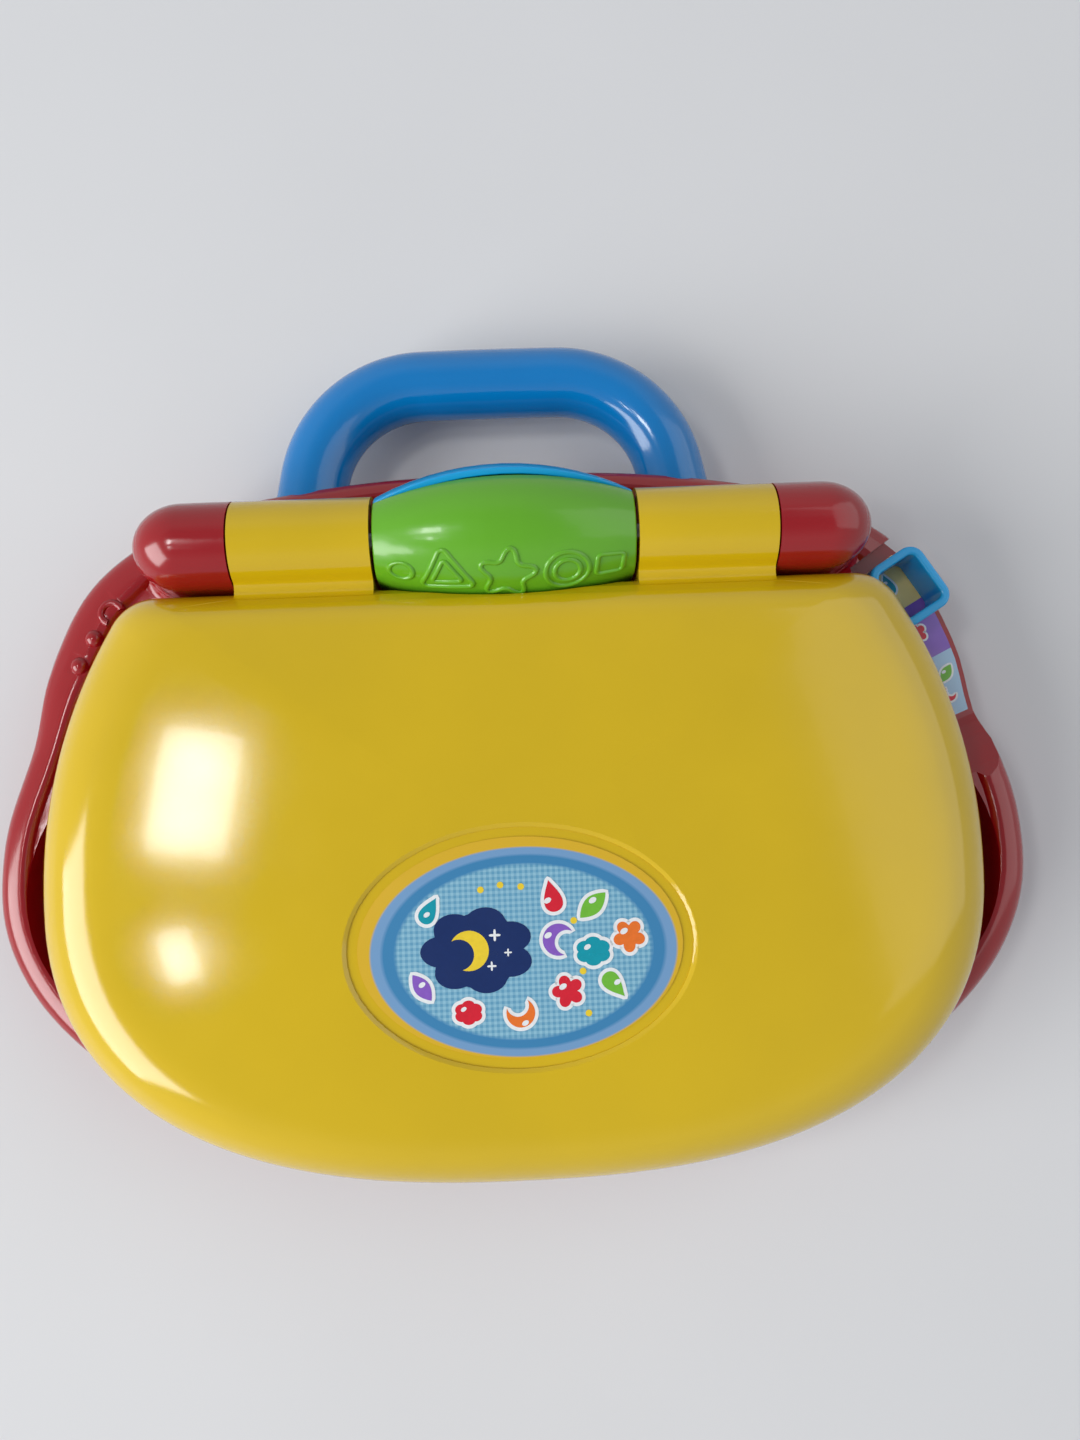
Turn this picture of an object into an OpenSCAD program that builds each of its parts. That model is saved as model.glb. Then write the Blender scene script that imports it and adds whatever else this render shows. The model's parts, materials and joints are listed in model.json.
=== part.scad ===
// Toy laptop computer with a carry handle, a sliding mode knob and nine shape keys.
// It lies closed on a table. Millimetres, +Z up, +Y towards the hinge and the handle.
// The origin is on the table, straight below the middle of the whole toy.
// Below, Y is first counted from the hinge axis; piece() then moves it all to the origin.

/* [Hinge] */
// Height of the hinge axis above the table
hinge_z = 46; // [45:0.5:49]
// Radius of the hinge barrel: lid knuckles and end caps
barrel_r = 12.2; // [11.4:0.1:12.6]
// Length of the barrel from the middle to the tip of an end cap
barrel_half = 101.5; // [98:0.5:103]
// Where a lid knuckle starts, from the middle
knuckle_start = 36; // [35:0.5:40]
// Where a lid knuckle ends, from the middle
knuckle_end = 73.5; // [68:0.5:76]
// Radius of the front hinge cover at its middle
cover_r = 18; // [17:0.1:18.4]
// Radius of the rear hinge cover at its middle
rear_cover_r = 20; // [19.5:0.1:20.6]
// Angle above the rear horizon at which the two hinge covers meet
cover_seam_angle = 40; // [30:1:48]
// Lean of that seam, seen from above
cover_seam_lean = 3; // [0:0.5:5]
// Radius of the hinge pins
pin_r = 2.5; // [2:0.1:3]

/* [Lid] */
// Greatest width of the lid
lid_w = 252.6; // [248:0.2:254]
// Reach of the lid's front edge in front of the hinge axis
lid_front = 171; // [168:0.5:175]
// Where the lid is widest, in front of the hinge axis
lid_wide_at = 87.3; // [80:0.1:92]
// Radius of the lid's side edges, seen from above
lid_side_r = 138; // [130:1:150]
// Radius of the lid's two rear corners, seen from above
lid_corner_r = 14; // [10:0.5:20]
// Fullness of the lid's front corners, where 2 is an ellipse
lid_fullness = 2.5; // [2.2:0.05:2.8]
// Height of the lid's lower rim
rim_z = 35; // [34.8:0.1:36]
// Height at which the lid's edge stands straight up
lid_edge_z = 40; // [39:0.1:41]
// Height of the round over the lid's edge
lid_round_h = 15; // [14:0.1:16]
// Further rise from there to the lid's crown
lid_crown_h = 5.3; // [4.8:0.1:6]
// Wall of the lid's cover
lid_wall = 2.2; // [1.8:0.1:2.6]

/* [Lid details] */
// Width of the oval label recess
recess_w = 87.5; // [80:0.5:92]
// Depth of the oval label recess, front to rear
recess_l = 60; // [54:0.5:64]
// Where the middle of the recess lies, in front of the hinge axis
recess_at = 110; // [104:0.5:116]
// Depth of the recess below the dome
recess_depth = 0.9; // [0.7:0.05:1.2]
// Width of the soft edge round the recess
recess_lip = 1.4; // [0.8:0.1:2]
// Width of the printed oval label
label_w = 82; // [76:0.5:86]
// Length of the printed oval label, front to rear
label_l = 55; // [50:0.5:58]
// Width of the screen's clear window
window_w = 112; // [100:1:120]
// Length of the screen's clear window, front to rear
window_l = 72; // [60:1:78]

/* [Base] */
// Greatest width of the base, over the two side bulges
base_w = 291; // [286:0.5:294]
// How far each side bulge stands out from the waist behind it
bulge = 8; // [6:0.5:10]
// Reach of the base's front edge in front of the hinge axis
base_front = 168; // [165:0.5:170]
// Reach of the base's rear wall behind the hinge axis
base_rear = 26; // [24:0.5:28]
// Height at which the two halves of the base meet
seam_z = 17; // [16:0.5:17.5]
// Height of the base's outer rim
crest_z = 30; // [29:0.1:31]
// Depth of the ledge inside that rim
ledge_drop = 1.5; // [1:0.1:2]
// Height of the deck that the lid closes on
deck_z = 34.5; // [34:0.1:34.7]
// Height of the sunken keyboard plate
plate_z = 31.2; // [30.8:0.1:31.6]
// Wall of the base's two halves
base_wall = 2.4; // [2:0.1:2.8]
// Height of the two skids under the base
skid_h = 1.5; // [1:0.1:2]
// Depth of the two side pockets, below the outer rim
pocket_depth = 15; // [12:0.5:17]

/* [Handle] */
// Radius of the handle's tube
handle_r = 10.4; // [9:0.1:11]
// Reach of the handle's far edge behind the hinge axis
handle_reach = 68; // [64:0.5:74]
// Radius of the handle's two bends, on its centreline
handle_bend = 34.5; // [30:0.5:36]
// Length of the straight grip between the bends
grip_l = 40; // [36:1:46]
// Splay of the handle's legs
handle_splay = 10; // [0:1:14]
// Sideways place of the handle's middle
handle_x = -3; // [-4:0.5:4]

/* [Mode knob] */
// Radius of the curved track, to the outer face of the knob
track_r = 240; // [236:0.5:242]
// Bearing of the knob from the track's centre
knob_angle = 31; // [30.5:0.1:31.2]
// Length of the knob along its track
knob_l = 20.4; // [18:0.1:21]
// Breadth of the knob across its track
knob_w = 18; // [16:0.1:18.5]
// Wall of the knob
knob_wall = 2.5; // [2:0.1:3]
// Radius of the knob's four outer corners
knob_r = 4.4; // [3.6:0.1:6]
// Height of the knob
knob_h = 13.7; // [11:0.1:14]
// Height of the track's floor
track_z = 19; // [18.8:0.1:19.6]
// Travel of the knob towards the front, in degrees about the track's centre
knob_travel = 7.2; // [6:0.1:7.4]
// Travel of the knob towards the hinge, in degrees about the track's centre
knob_back = 0.7; // [0:0.1:0.8]

/* [Keys] */
// Size of a shape key, across
key_size = 25; // [22:0.5:27]
// Pitch between keys of one row
key_pitch = 36; // [34:0.5:38]
// Distance of the rear row of keys in front of the hinge axis
key_row_at = 80; // [76:0.5:84]
// Distance between the two rows of keys
key_row_pitch = 36; // [34:0.5:38]
// How far a key stands above the keyboard plate
key_rise = 3.2; // [2.6:0.1:3.4]
// Travel of a key
key_travel = 2.5; // [1.5:0.1:2.6]
// Travel of the power and volume switch, from off to loud
power_travel = 10; // [6:0.5:12]
// Distance of the power switch in front of the hinge axis
power_at = 48; // [46:0.5:52]

/* [Inside] */
// Radius of an AA cell
cell_r = 7.1; // [7:0.05:7.25]
// Length of an AA cell, without its nub
cell_l = 49.5; // [48.5:0.1:50]
// Thickness of the circuit boards
board_t = 1.6; // [1.2:0.1:1.6]
// Radius of the loudspeaker
speaker_r = 16; // [14:0.5:16.5]
// Radius of the case screws' shanks
screw_r = 1.4; // [1.2:0.1:1.6]

/* [Hidden] */
$fn = 64;

RED = [0.72, 0.05, 0.06];
YELLOW = [0.90, 0.74, 0.05];
BLUE = [0.02, 0.42, 0.76];
CYAN = [0.10, 0.62, 0.86];
GREEN = [0.38, 0.74, 0.13];
ORANGE = [0.93, 0.42, 0.12];
PURPLE = [0.45, 0.24, 0.62];

// Clearances
run_gap = 0.5;        // between the lid and what it swings past
seat_gap = 0.3;       // between pieces that are fitted together
key_gap = 0.5;        // round a key in the keyboard plate
pin_run = 0.08;       // round a pin in a knuckle
pin_seat = 0.02;      // round a pin in the base

// Heights and places that follow from the driving dimensions
middle_y = (lid_front - handle_reach) / 2;
ledge_z = crest_z - ledge_drop;
ledge_t = 2.5;
deck_t = deck_z - plate_z - 0.2;
plate_t = 2.5;
board_z = 21;
stem_z = board_z + board_t + 3.4;
flange_t = 1.2;
panel_z = rim_z + 1.5;
panel_t = 2;
panel_top = panel_z + panel_t;
lid_in = lid_wall + 0.6;
notch_gap = run_gap + 0.4;
foot_z = ledge_z + 0.2;
cap_start = knuckle_end + run_gap;
sky = hinge_z + 14;
cover_half = knuckle_start - run_gap - 0.3;
cover_end_r = barrel_r - 0.4;
cover_wall = 2;
track_c = [track_r * -cos(knob_angle) + base_w / 2 - 21.3, track_r * -sin(knob_angle) - 10];
track_in_r = track_r - knob_w - 0.8;
knob_half_angle = asin(knob_l / 2 / (track_r - knob_w));
track_play = 0.3;
track_from = knob_angle - knob_travel - knob_half_angle - track_play;
track_to = knob_angle + knob_back + knob_half_angle + track_play;
knob_z = track_z + seat_gap;
tongue_z = track_z + 3;
tongue_t = 3;
bay_y = -38;
bay_w = cell_l + 9.5;
bay_l = 3 * (2 * cell_r + 1) + 2;
bay_wall = 1.6;
cell_z = skid_h + base_wall + cell_r + 0.4;
bay_top = cell_z + cell_r + 0.6;
floor_top = skid_h + base_wall;
door_w = bay_w + 8;
door_l = bay_l + 8;
door_t = 2;
pad_top = floor_top + 1.6;
speaker_c = [-60, -47];
speaker_ears = [20, 160, 300];
power_x = 60;
screw_row = [[base_w / 2 - 57.5, 9], [base_w / 2 - 38.5, -98], [52, 14 - base_front]];
screws = [for (s = [-1, 1], p = screw_row) [s * p.x, p.y]];
lid_screw_row = [[50, -33], [lid_w / 2 - 28.3, 12.3 - lid_wide_at], [60, 25 - lid_front]];
lid_screw_places = [for (s = [-1, 1], p = lid_screw_row) [s * p.x, p.y]];
reed_c = [25.3 - lid_w / 2, 53 - lid_front];
KEYS = [
    ["heart", -2, 0, [0.80, 0.06, 0.10]], ["triangle", -1, 0, GREEN], ["oval", 0, 0, PURPLE],
    ["square", 1, 0, [0.03, 0.45, 0.66]], ["star", 2, 0, ORANGE], ["circle", -1.5, 1, [0.80, 0.06, 0.10]],
    ["diamond", -0.5, 1, GREEN], ["rectangle", 0.5, 1, ORANGE], ["hexagon", 1.5, 1, PURPLE]
];

// ---------- outlines ----------

function unit(v) = v / norm(v);
function turned(p, a) = [p.x * cos(a) - p.y * sin(a), p.x * sin(a) + p.y * cos(a)];
function arc(c, r, from, to, n) = [for (i = [0:n])
    c + r * [cos(from + (to - from) * i / n), sin(from + (to - from) * i / n)]];
function about(pts, c, s) = [for (p = pts) c + s * (p - c)];
function at_z(pts, z) = [for (p = pts) [p.x, p.y, z]];

// A half outline from front to rear, with its mirror image: both ends lie on X = 0.
function both_halves(half) = concat(half, [for (i = [len(half) - 2:-1:1]) [-half[i].x, half[i].y]]);

// Moves each point inwards along the normal of an anticlockwise outline, by one distance or by its own.
function inset(pts, d) = let (n = len(pts)) [
    for (i = [0:n - 1]) let (t = unit(pts[(i + 1) % n] - pts[(i + n - 1) % n]))
        pts[i] + (is_list(d) ? d[i] : d) * [-t.y, t.x]
];

// One corner of a polygon as an arc, and a polygon with all its corners so.
function corner(a, b, c, r, n) = let (
    u = unit(a - b), v = unit(c - b), half = acos(u * v) / 2,
    o = b + unit(u + v) * r / sin(half), p = b + u * r / tan(half) - o,
    turn = sign(cross(b - a, c - b)) * (180 - 2 * half), from = atan2(p.y, p.x)
) arc(o, r, from, from + turn, n);
function rounded(pts, r, n = 5) = let (m = len(pts)) [
    for (i = [0:m - 1]) each corner(pts[(i + m - 1) % m], pts[i], pts[(i + 1) % m], r, n)
];
function box_points(w, l) = [[-w, -l] / 2, [w, -l] / 2, [w, l] / 2, [-w, l] / 2];
function ring_points(n, r, from = 0) = [for (i = [0:n - 1])
    r * [cos(from + i * 360 / n), sin(from + i * 360 / n)]];
function oval_points(w, l, n = 64) = [for (p = ring_points(n, 0.5)) [p.x * w, p.y * l]];

// A smooth closed curve through the given points.
function spline(pts, n) = let (m = len(pts)) [
    for (i = [0:m - 1], k = [0:n - 1]) let (
        t = k / n, a = pts[(i + m - 1) % m], b = pts[i], c = pts[(i + 1) % m], d = pts[(i + 2) % m]
    ) (2 * b + (c - a) * t + (2 * a - 5 * b + 4 * c - d) * t * t + (3 * b - a - 3 * c + d) * t * t * t) / 2
];

// The lid from above: a full front, round sides and a straight rear edge just in front of the barrel.
lid_rear = barrel_r + run_gap;
lid_c = [0, -lid_wide_at];
side_angle = asin((lid_wide_at - lid_rear - lid_corner_r) / (lid_side_r - lid_corner_r));
side_c = [lid_w / 2 - lid_side_r, -lid_wide_at];
corner_c = side_c + (lid_side_r - lid_corner_r) * [cos(side_angle), sin(side_angle)];
function lid_front_point(a) = [
    lid_w / 2 * pow(sin(a), 2 / lid_fullness), -lid_wide_at - (lid_front - lid_wide_at)
        * pow(cos(a), 2 / lid_fullness)
];
lid_outline = both_halves(concat(
    [for (a = [0, 2, each [6:6:84]]) lid_front_point(a)],
    arc(side_c, lid_side_r, 0, side_angle, 6),
    arc(corner_c, lid_corner_r, side_angle + 12, 90, 4),
    [for (f = [0.75, 0.5, 0.25, 0]) [corner_c.x * f, -lid_rear]]
));

// The base from above, with its waist behind the two side bulges: places, and the rim's width at each.
waist = base_w / 2 - bulge;
base_half = [
    [0, -base_front, 6], [50, 1.5 - base_front, 6], [97, 16 - base_front, 6.5], [base_w / 2 - 17.5, -130, 8],
    [base_w / 2 - 2, -105, 8.5], [base_w / 2 - 0.5, -78, 8.5], [waist, -51, 9], [waist - 4.5, -28, 12],
    [waist - 18, -2, 12], [waist - 47, 16, 9], [46, base_rear - 1.8, 6.5], [0, base_rear, 6.5]
];
base_curve = spline(concat(base_half,
    [for (i = [len(base_half) - 2:-1:1]) let (p = base_half[i]) [-p.x, p.y, p.z]]), 4);
base_outline = [for (p = base_curve) [p.x, p.y]];
rim_width = [for (p = base_curve) p.z];

// The deck under the lid, the keyboard plate's window in it and the plate itself.
deck_outline = inset(lid_outline, 5);
window_outline = about(lid_outline, lid_c, 0.75);
plate_outline = inset(window_outline, -3);

// ---------- solids ----------

// A closed skin over rings that have as many points each.
module loft(rings) {
    n = len(rings[0]);
    m = len(rings);
    fan = abs(rings[0][0].z - rings[0][2].z) > 0.01;
    polyhedron(
        points = [for (r = rings) each r],
        faces = concat(
            fan ? [for (i = [1:n - 2]) [0, i, i + 1]] : [[for (i = [0:n - 1]) i]],
            [for (k = [0:m - 2], i = [0:n - 1]) let (j = (i + 1) % n) each [
                [k * n + i, (k + 1) * n + i, k * n + j],
                [k * n + j, (k + 1) * n + i, (k + 1) * n + j]
            ]],
            fan ? [for (i = [1:n - 2]) [for (v = [0, i + 1, i]) (m - 1) * n + v]]
                : [[for (i = [n - 1:-1:0]) (m - 1) * n + i]]
        )
    );
}
module slab(pts, from, to) { translate([0, 0, from]) linear_extrude(to - from) polygon(pts); }
module along_x(from, to) {
    translate([from, 0, 0]) rotate([90, 0, 90]) linear_extrude(to - from) children();
}
module around_hinge() { translate([0, 0, hinge_z]) rotate([0, 90, 0]) rotate_extrude() children(); }
module both_sides() { children(); mirror([1, 0, 0]) children(); }
module post(p, r, from, to) { translate([p.x, p.y, from]) cylinder(r = r, h = to - from); }
module hinge_rod(r, from, to) {
    translate([from, 0, hinge_z]) rotate([0, 90, 0]) cylinder(r = r, h = to - from);
}
module box(from, size) { translate(from) cube(size); }

// The lid's skin: a dome over its outline, from the rim up to the crown.
function dome_z(s, k = 0.84) = lid_edge_z + lid_crown_h * (1 - s * s)
    + lid_round_h * (s > k ? sqrt(1 - pow((s - k) / (1 - k), 2)) : 1);
DOME = [0.994, 0.98, 0.955, 0.92, 0.88, 0.82, 0.66, 0.46, 0.24];
module lid_outside() {
    loft(concat(
        [at_z(inset(lid_outline, 1), rim_z), at_z(inset(lid_outline, 0.3), rim_z + 1),
            at_z(lid_outline, lid_edge_z)],
        [for (s = DOME) at_z(about(lid_outline, lid_c, s), dome_z(s))]
    ));
}
module lid_inside() {
    pts = inset(lid_outline, lid_in);
    loft(concat(
        [at_z(pts, rim_z - 1), at_z(pts, lid_edge_z)],
        [for (s = DOME) at_z(about(pts, lid_c, s), dome_z(s) - lid_wall)]
    ));
}
// The same dome near its crown only, lowered by drop.
module crown_patch(drop) {
    loft(concat(
        [at_z(about(lid_outline, lid_c, 0.82), lid_edge_z)],
        [for (s = [0.82, 0.66, 0.46, 0.24]) at_z(about(lid_outline, lid_c, s), dome_z(s) - drop)]
    ));
}
module oval_prism(w, l) { translate([0, -recess_at, lid_edge_z + 2]) linear_extrude(40)
    polygon(oval_points(w, l)); }
// How far out on the dome a point lies: 1 at the lid's edge, and never less than its flat top.
function dome_share(p) = max(0.24, pow(
    pow(abs(p.x) / (lid_w / 2), lid_fullness)
        + pow(max(0, -lid_wide_at - p.y) / (lid_front - lid_wide_at), lid_fullness), 1 / lid_fullness
));
// The recess's oval, grown all round and lowered below the dome.
function recess_ring(grow, drop) = [
    for (p = oval_points(recess_w + 2 * grow, recess_l + 2 * grow))
        let (q = p - [0, recess_at]) [q.x, q.y, dome_z(dome_share(q)) - drop]
];

// The middle of the hinge: a crowned barrel over a skirt that drops to the base.
function crown_r(x, mid) = let (
    h = mid - cover_end_r, big = (cover_half * cover_half + h * h) / 2 / h
) mid - big + sqrt(big * big - x * x);
function crown_curve(mid, grow, half) = [
    for (i = [-7:7]) let (x = half * i / 7) [crown_r(min(abs(x), cover_half), mid) + grow, x]
];
module crown(mid, grow, half) {
    around_hinge() polygon(concat([[0, -half]], crown_curve(mid, grow, half), [[0, half]]));
}
module skirt(mid, grow, half, from) {
    slab(concat([[-half, 0]], [for (p = crown_curve(mid, grow, half)) [p.y, -p.x]], [[half, 0]]), from,
        hinge_z);
}
module front_form(grow, half, from) {
    crown(cover_r, grow, half);
    skirt(cover_r, grow, half, from);
}
module rear_form(grow, half, from) {
    crown(rear_cover_r, grow, half);
    mirror([0, 1, 0]) skirt(rear_cover_r, grow, half, from);
}
// The space on the front side of the seam between the covers.
module front_space(d) {
    translate([0, d, hinge_z]) rotate([0, 0, cover_seam_lean]) along_x(-60, 60) polygon([
        [0, -40], [0, 0], 80 * [cos(cover_seam_angle), sin(cover_seam_angle)], [-80, 80], [-80, -40]
    ]);
}
peg_x = 20;
front_peg_y = 2 - crown_r(peg_x, cover_r);
rear_peg_y = crown_r(peg_x, rear_cover_r) - 2;

// The red end of the hinge barrel, seen from above, and its turned form.
cap_tip = 14;
cap_plan = concat(
    [[cap_start, -barrel_r]],
    [for (a = [-90:15:90]) [barrel_half - cap_tip + cap_tip * cos(a), barrel_r * sin(a)]],
    [[cap_start, barrel_r]]
);
module cap_barrel() {
    around_hinge() polygon(concat(
        [[0, cap_start], [barrel_r, cap_start]],
        [for (a = [90:-10:0]) [barrel_r * sin(a), barrel_half - cap_tip + cap_tip * cos(a)]]
    ));
}

// The handle's path from one leg's foot to the other's, as places with headings, and its tube.
handle_y = handle_reach - handle_r;
leg_a = 90 - handle_splay;
leg_top = [grip_l / 2 + handle_bend * cos(handle_splay),
    handle_y - handle_bend + handle_bend * sin(handle_splay)];
leg_l = 26;
leg_foot = leg_top + leg_l * [sin(handle_splay), -cos(handle_splay)];
half_path = concat([[leg_foot, 90 + handle_splay]], [
    for (a = [0:leg_a / 8:leg_a + 0.01]) let (b = handle_splay + a)
        [[grip_l / 2 + handle_bend * cos(b), handle_y - handle_bend + handle_bend * sin(b)], 90 + b]
]);
handle_path = concat(half_path, [for (i = [len(half_path) - 1:-1:0]) [[-half_path[i][0].x,
    half_path[i][0].y], 360 - half_path[i][1]]]);
module handle_tube(r, longer) {
    ends = [for (i = [0, len(handle_path) - 1])
        let (q = handle_path[i]) [q[0] + (i == 0 ? -1 : 1) * longer * [cos(q[1]), sin(q[1])], q[1]]];
    translate([handle_x, 0, seam_z]) loft([
        for (q = concat([ends[0]], [for (i = [1:len(handle_path) - 2]) handle_path[i]], [ends[1]])) [
            for (p = ring_points(28, r)) [q[0].x - p.x * sin(q[1]), q[0].y + p.x * cos(q[1]), p.y]
        ]
    ]);
}
module handle_leg(r, from, to) {
    translate([leg_top.x, leg_top.y, seam_z]) rotate([90, 0, handle_splay]) translate([0, 0, from])
        cylinder(r = r, h = to - from);
}
module handle_holes() { translate([handle_x, 0, 0]) both_sides()
    handle_leg(handle_r + seat_gap, 0, leg_l + 1); }
module handle_ears() {
    translate([leg_top.x, leg_top.y, seam_z]) rotate([90, 0, handle_splay])
        box([-handle_r - 2.6, -4, leg_l - 11], [2 * handle_r + 5.2, 8, 3]);
}
module cradles(from, to) {
    translate([handle_x, 0, 0]) both_sides()
        box([leg_top.x - 12, leg_top.y - leg_l + 1, from], [27, 3, to - from]);
}

// A sector about the mode knob's centre, between two radii.
module sector(r1, r2, a1, a2, from, to) {
    translate([track_c.x, track_c.y, from]) linear_extrude(to - from) polygon(concat(
        arc([0, 0], r1, a1, a2, 8), arc([0, 0], r2, a2, a1, 8)
    ));
}
module at_knob() { translate([track_c.x, track_c.y, 0]) rotate([0, 0, knob_angle]) children(); }

// The base's two skins.
module base_skin(levels) { loft([for (q = levels) at_z(inset(base_outline, q[1]), q[0])]); }
pocket_c = [base_w / 2 - 49.5, -92];
pocket_r = 40.5;
pocket_from = lid_w / 2 - 4.5;
module pocket(d, floor, top) {
    intersection() {
        post(pocket_c, pocket_r + d, floor, top);
        box([pocket_from - d, -150, floor], [60, 120, 60]);
    }
}
key_places = [for (k = KEYS) [k[1] * key_pitch, -key_row_at - k[2] * key_row_pitch]];
function key_outline(i, s) = let (all = [
    spline(s * both_halves([[0, -0.54], [0.22, -0.36], [0.45, -0.08], [0.55, 0.2], [0.42, 0.42],
        [0.2, 0.43], [0, 0.27]]), 3),
    rounded(ring_points(3, s * 0.62, 90), s * 0.12, 8),
    oval_points(s * 1.12, s * 0.84, 36),
    rounded(box_points(s * 0.94, s * 0.94), s * 0.12, 7),
    spline([for (i = [0:4], q = [[0, 0.6], [12, 0.5], [36, 0.38], [60, 0.5]])
        turned([s * q[1], 0], 90 + 72 * i + q[0])], 2),
    ring_points(36, s / 2),
    rounded(ring_points(4, s * 0.62), s * 0.1, 7),
    rounded(box_points(s * 1.16, s * 0.76), s * 0.1, 7),
    rounded(ring_points(6, s * 0.53), s * 0.1, 5)
]) all[i];
function key_form(i, grow) = [for (p = inset(key_outline(i, key_size), -grow)) p + key_places[i]];
key_top = plate_z + key_rise;
flange_z = plate_z - plate_t - 0.1 - flange_t;
module key(i) {
    loft([for (q = [[0, flange_z + 0.3], [0, key_top - 1.2], [-0.4, key_top - 0.4], [-1.2, key_top]])
        at_z(key_form(i, q[0]), q[1])]);
    post(key_places[i], key_size * 0.64, flange_z, flange_z + flange_t);
    post(key_places[i], 3, stem_z, flange_z + 1);
}
module dome(i) {
    translate([key_places[i].x, key_places[i].y, board_z + board_t]) rotate_extrude() polygon([
        [0, 2.2], [3.2, 2.2], [5, 0], [6.4, 0], [4.2, stem_z - board_z - board_t],
            [0, stem_z - board_z - board_t]
    ]);
}
board_posts = [for (x = [-76, -18, 18, 76]) [x, -98]];
plate_posts = [[-92, -98], [92, -98], [-62, -146], [62, -146], [-88, -52], [84, -44]];
board_outline = rounded([[-86, -66], [-84, -122], [-66, -133], [66, -133], [84, -122], [86, -66]], 5);
speaker_z = plate_z - plate_t - 1.5;
power_c = [power_x, -power_at];
carriage_r = track_in_r - 9;
function knob_plan(in) = [
    for (p = rounded(box_points(knob_w - 2 * in, knob_l - 2 * in), knob_r - in, 8))
        [p.x + track_r - knob_w / 2, p.y]
];

// Draws a piece in its colour, with the middle of the whole toy over the origin.
module piece(c) { translate([0, middle_y, 0]) color(c) children(); }

// ---------- pieces ----------

module base_bottom() {
    piece(RED) difference() {
        union() {
            base_skin([[skid_h, 9], [skid_h + 1.2, 5], [skid_h + 3.5, 2], [skid_h + 7, 0.5], [seam_z, 0]]);
            both_sides() {
                box([87, -130, 0], [9, 112, skid_h + 1]);
                post([91.5, -130], 4.5, 0, skid_h + 1);
                post([91.5, -18], 4.5, 0, skid_h + 1);
            }
        }
        difference() {
            base_skin([
                [floor_top, 10], [floor_top + 1.5, 6.5], [floor_top + 4, base_wall + 1.6],
                    [floor_top + 7, base_wall + 0.4],
                [seam_z + 1, base_wall]
            ]);
            box([-door_w / 2 - 3, bay_y - door_l / 2 - 3, 0], [door_w + 6, door_l + 7, pad_top]);
            box([-bay_w / 2 - bay_wall, bay_y - bay_l / 2 - bay_wall, 0],
                [bay_w + 2 * bay_wall, bay_l + 2 * bay_wall, bay_top + 1.2]);
            post([0, bay_y - door_l / 2], 8, 0, pad_top);
            post([0, bay_y - door_l / 2 - 2], 4, 0, pad_top + 8);
            for (p = screws) post(p, 4.6, 0, seam_z - 0.1);
            cradles(floor_top - 1, seam_z + 1);
        }
        box([-bay_w / 2, bay_y - bay_l / 2, -1], [bay_w, bay_l, bay_top + 1]);
        box([-door_w / 2 - seat_gap, bay_y - door_l / 2 - seat_gap, -1],
            [door_w + 2 * seat_gap, door_l + 2 * seat_gap, skid_h + door_t + 1.1]);
        post([0, bay_y - door_l / 2], 6 + seat_gap, -1, skid_h + door_t + 0.1);
        post([0, bay_y - door_l / 2 - 2], screw_r + 0.02, 0, pad_top + 7);
        for (x = [-20, 12]) box([x - seat_gap, bay_y + door_l / 2 - 1, skid_h + 0.7],
            [8 + 2 * seat_gap, 4.3, door_t - 0.6]);
        for (p = screws) {
            post(p, 3.3, -1, skid_h + 6);
            post(p, screw_r + 0.3, 0, seam_z + 1);
        }
        handle_holes();
    }
    piece(RED) {
        for (p = board_posts) post(p, 3, floor_top - 0.5, board_z);
        for (p = plate_posts) post(p, 3, floor_top - 0.5, plate_z - plate_t);
    }
}

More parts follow.
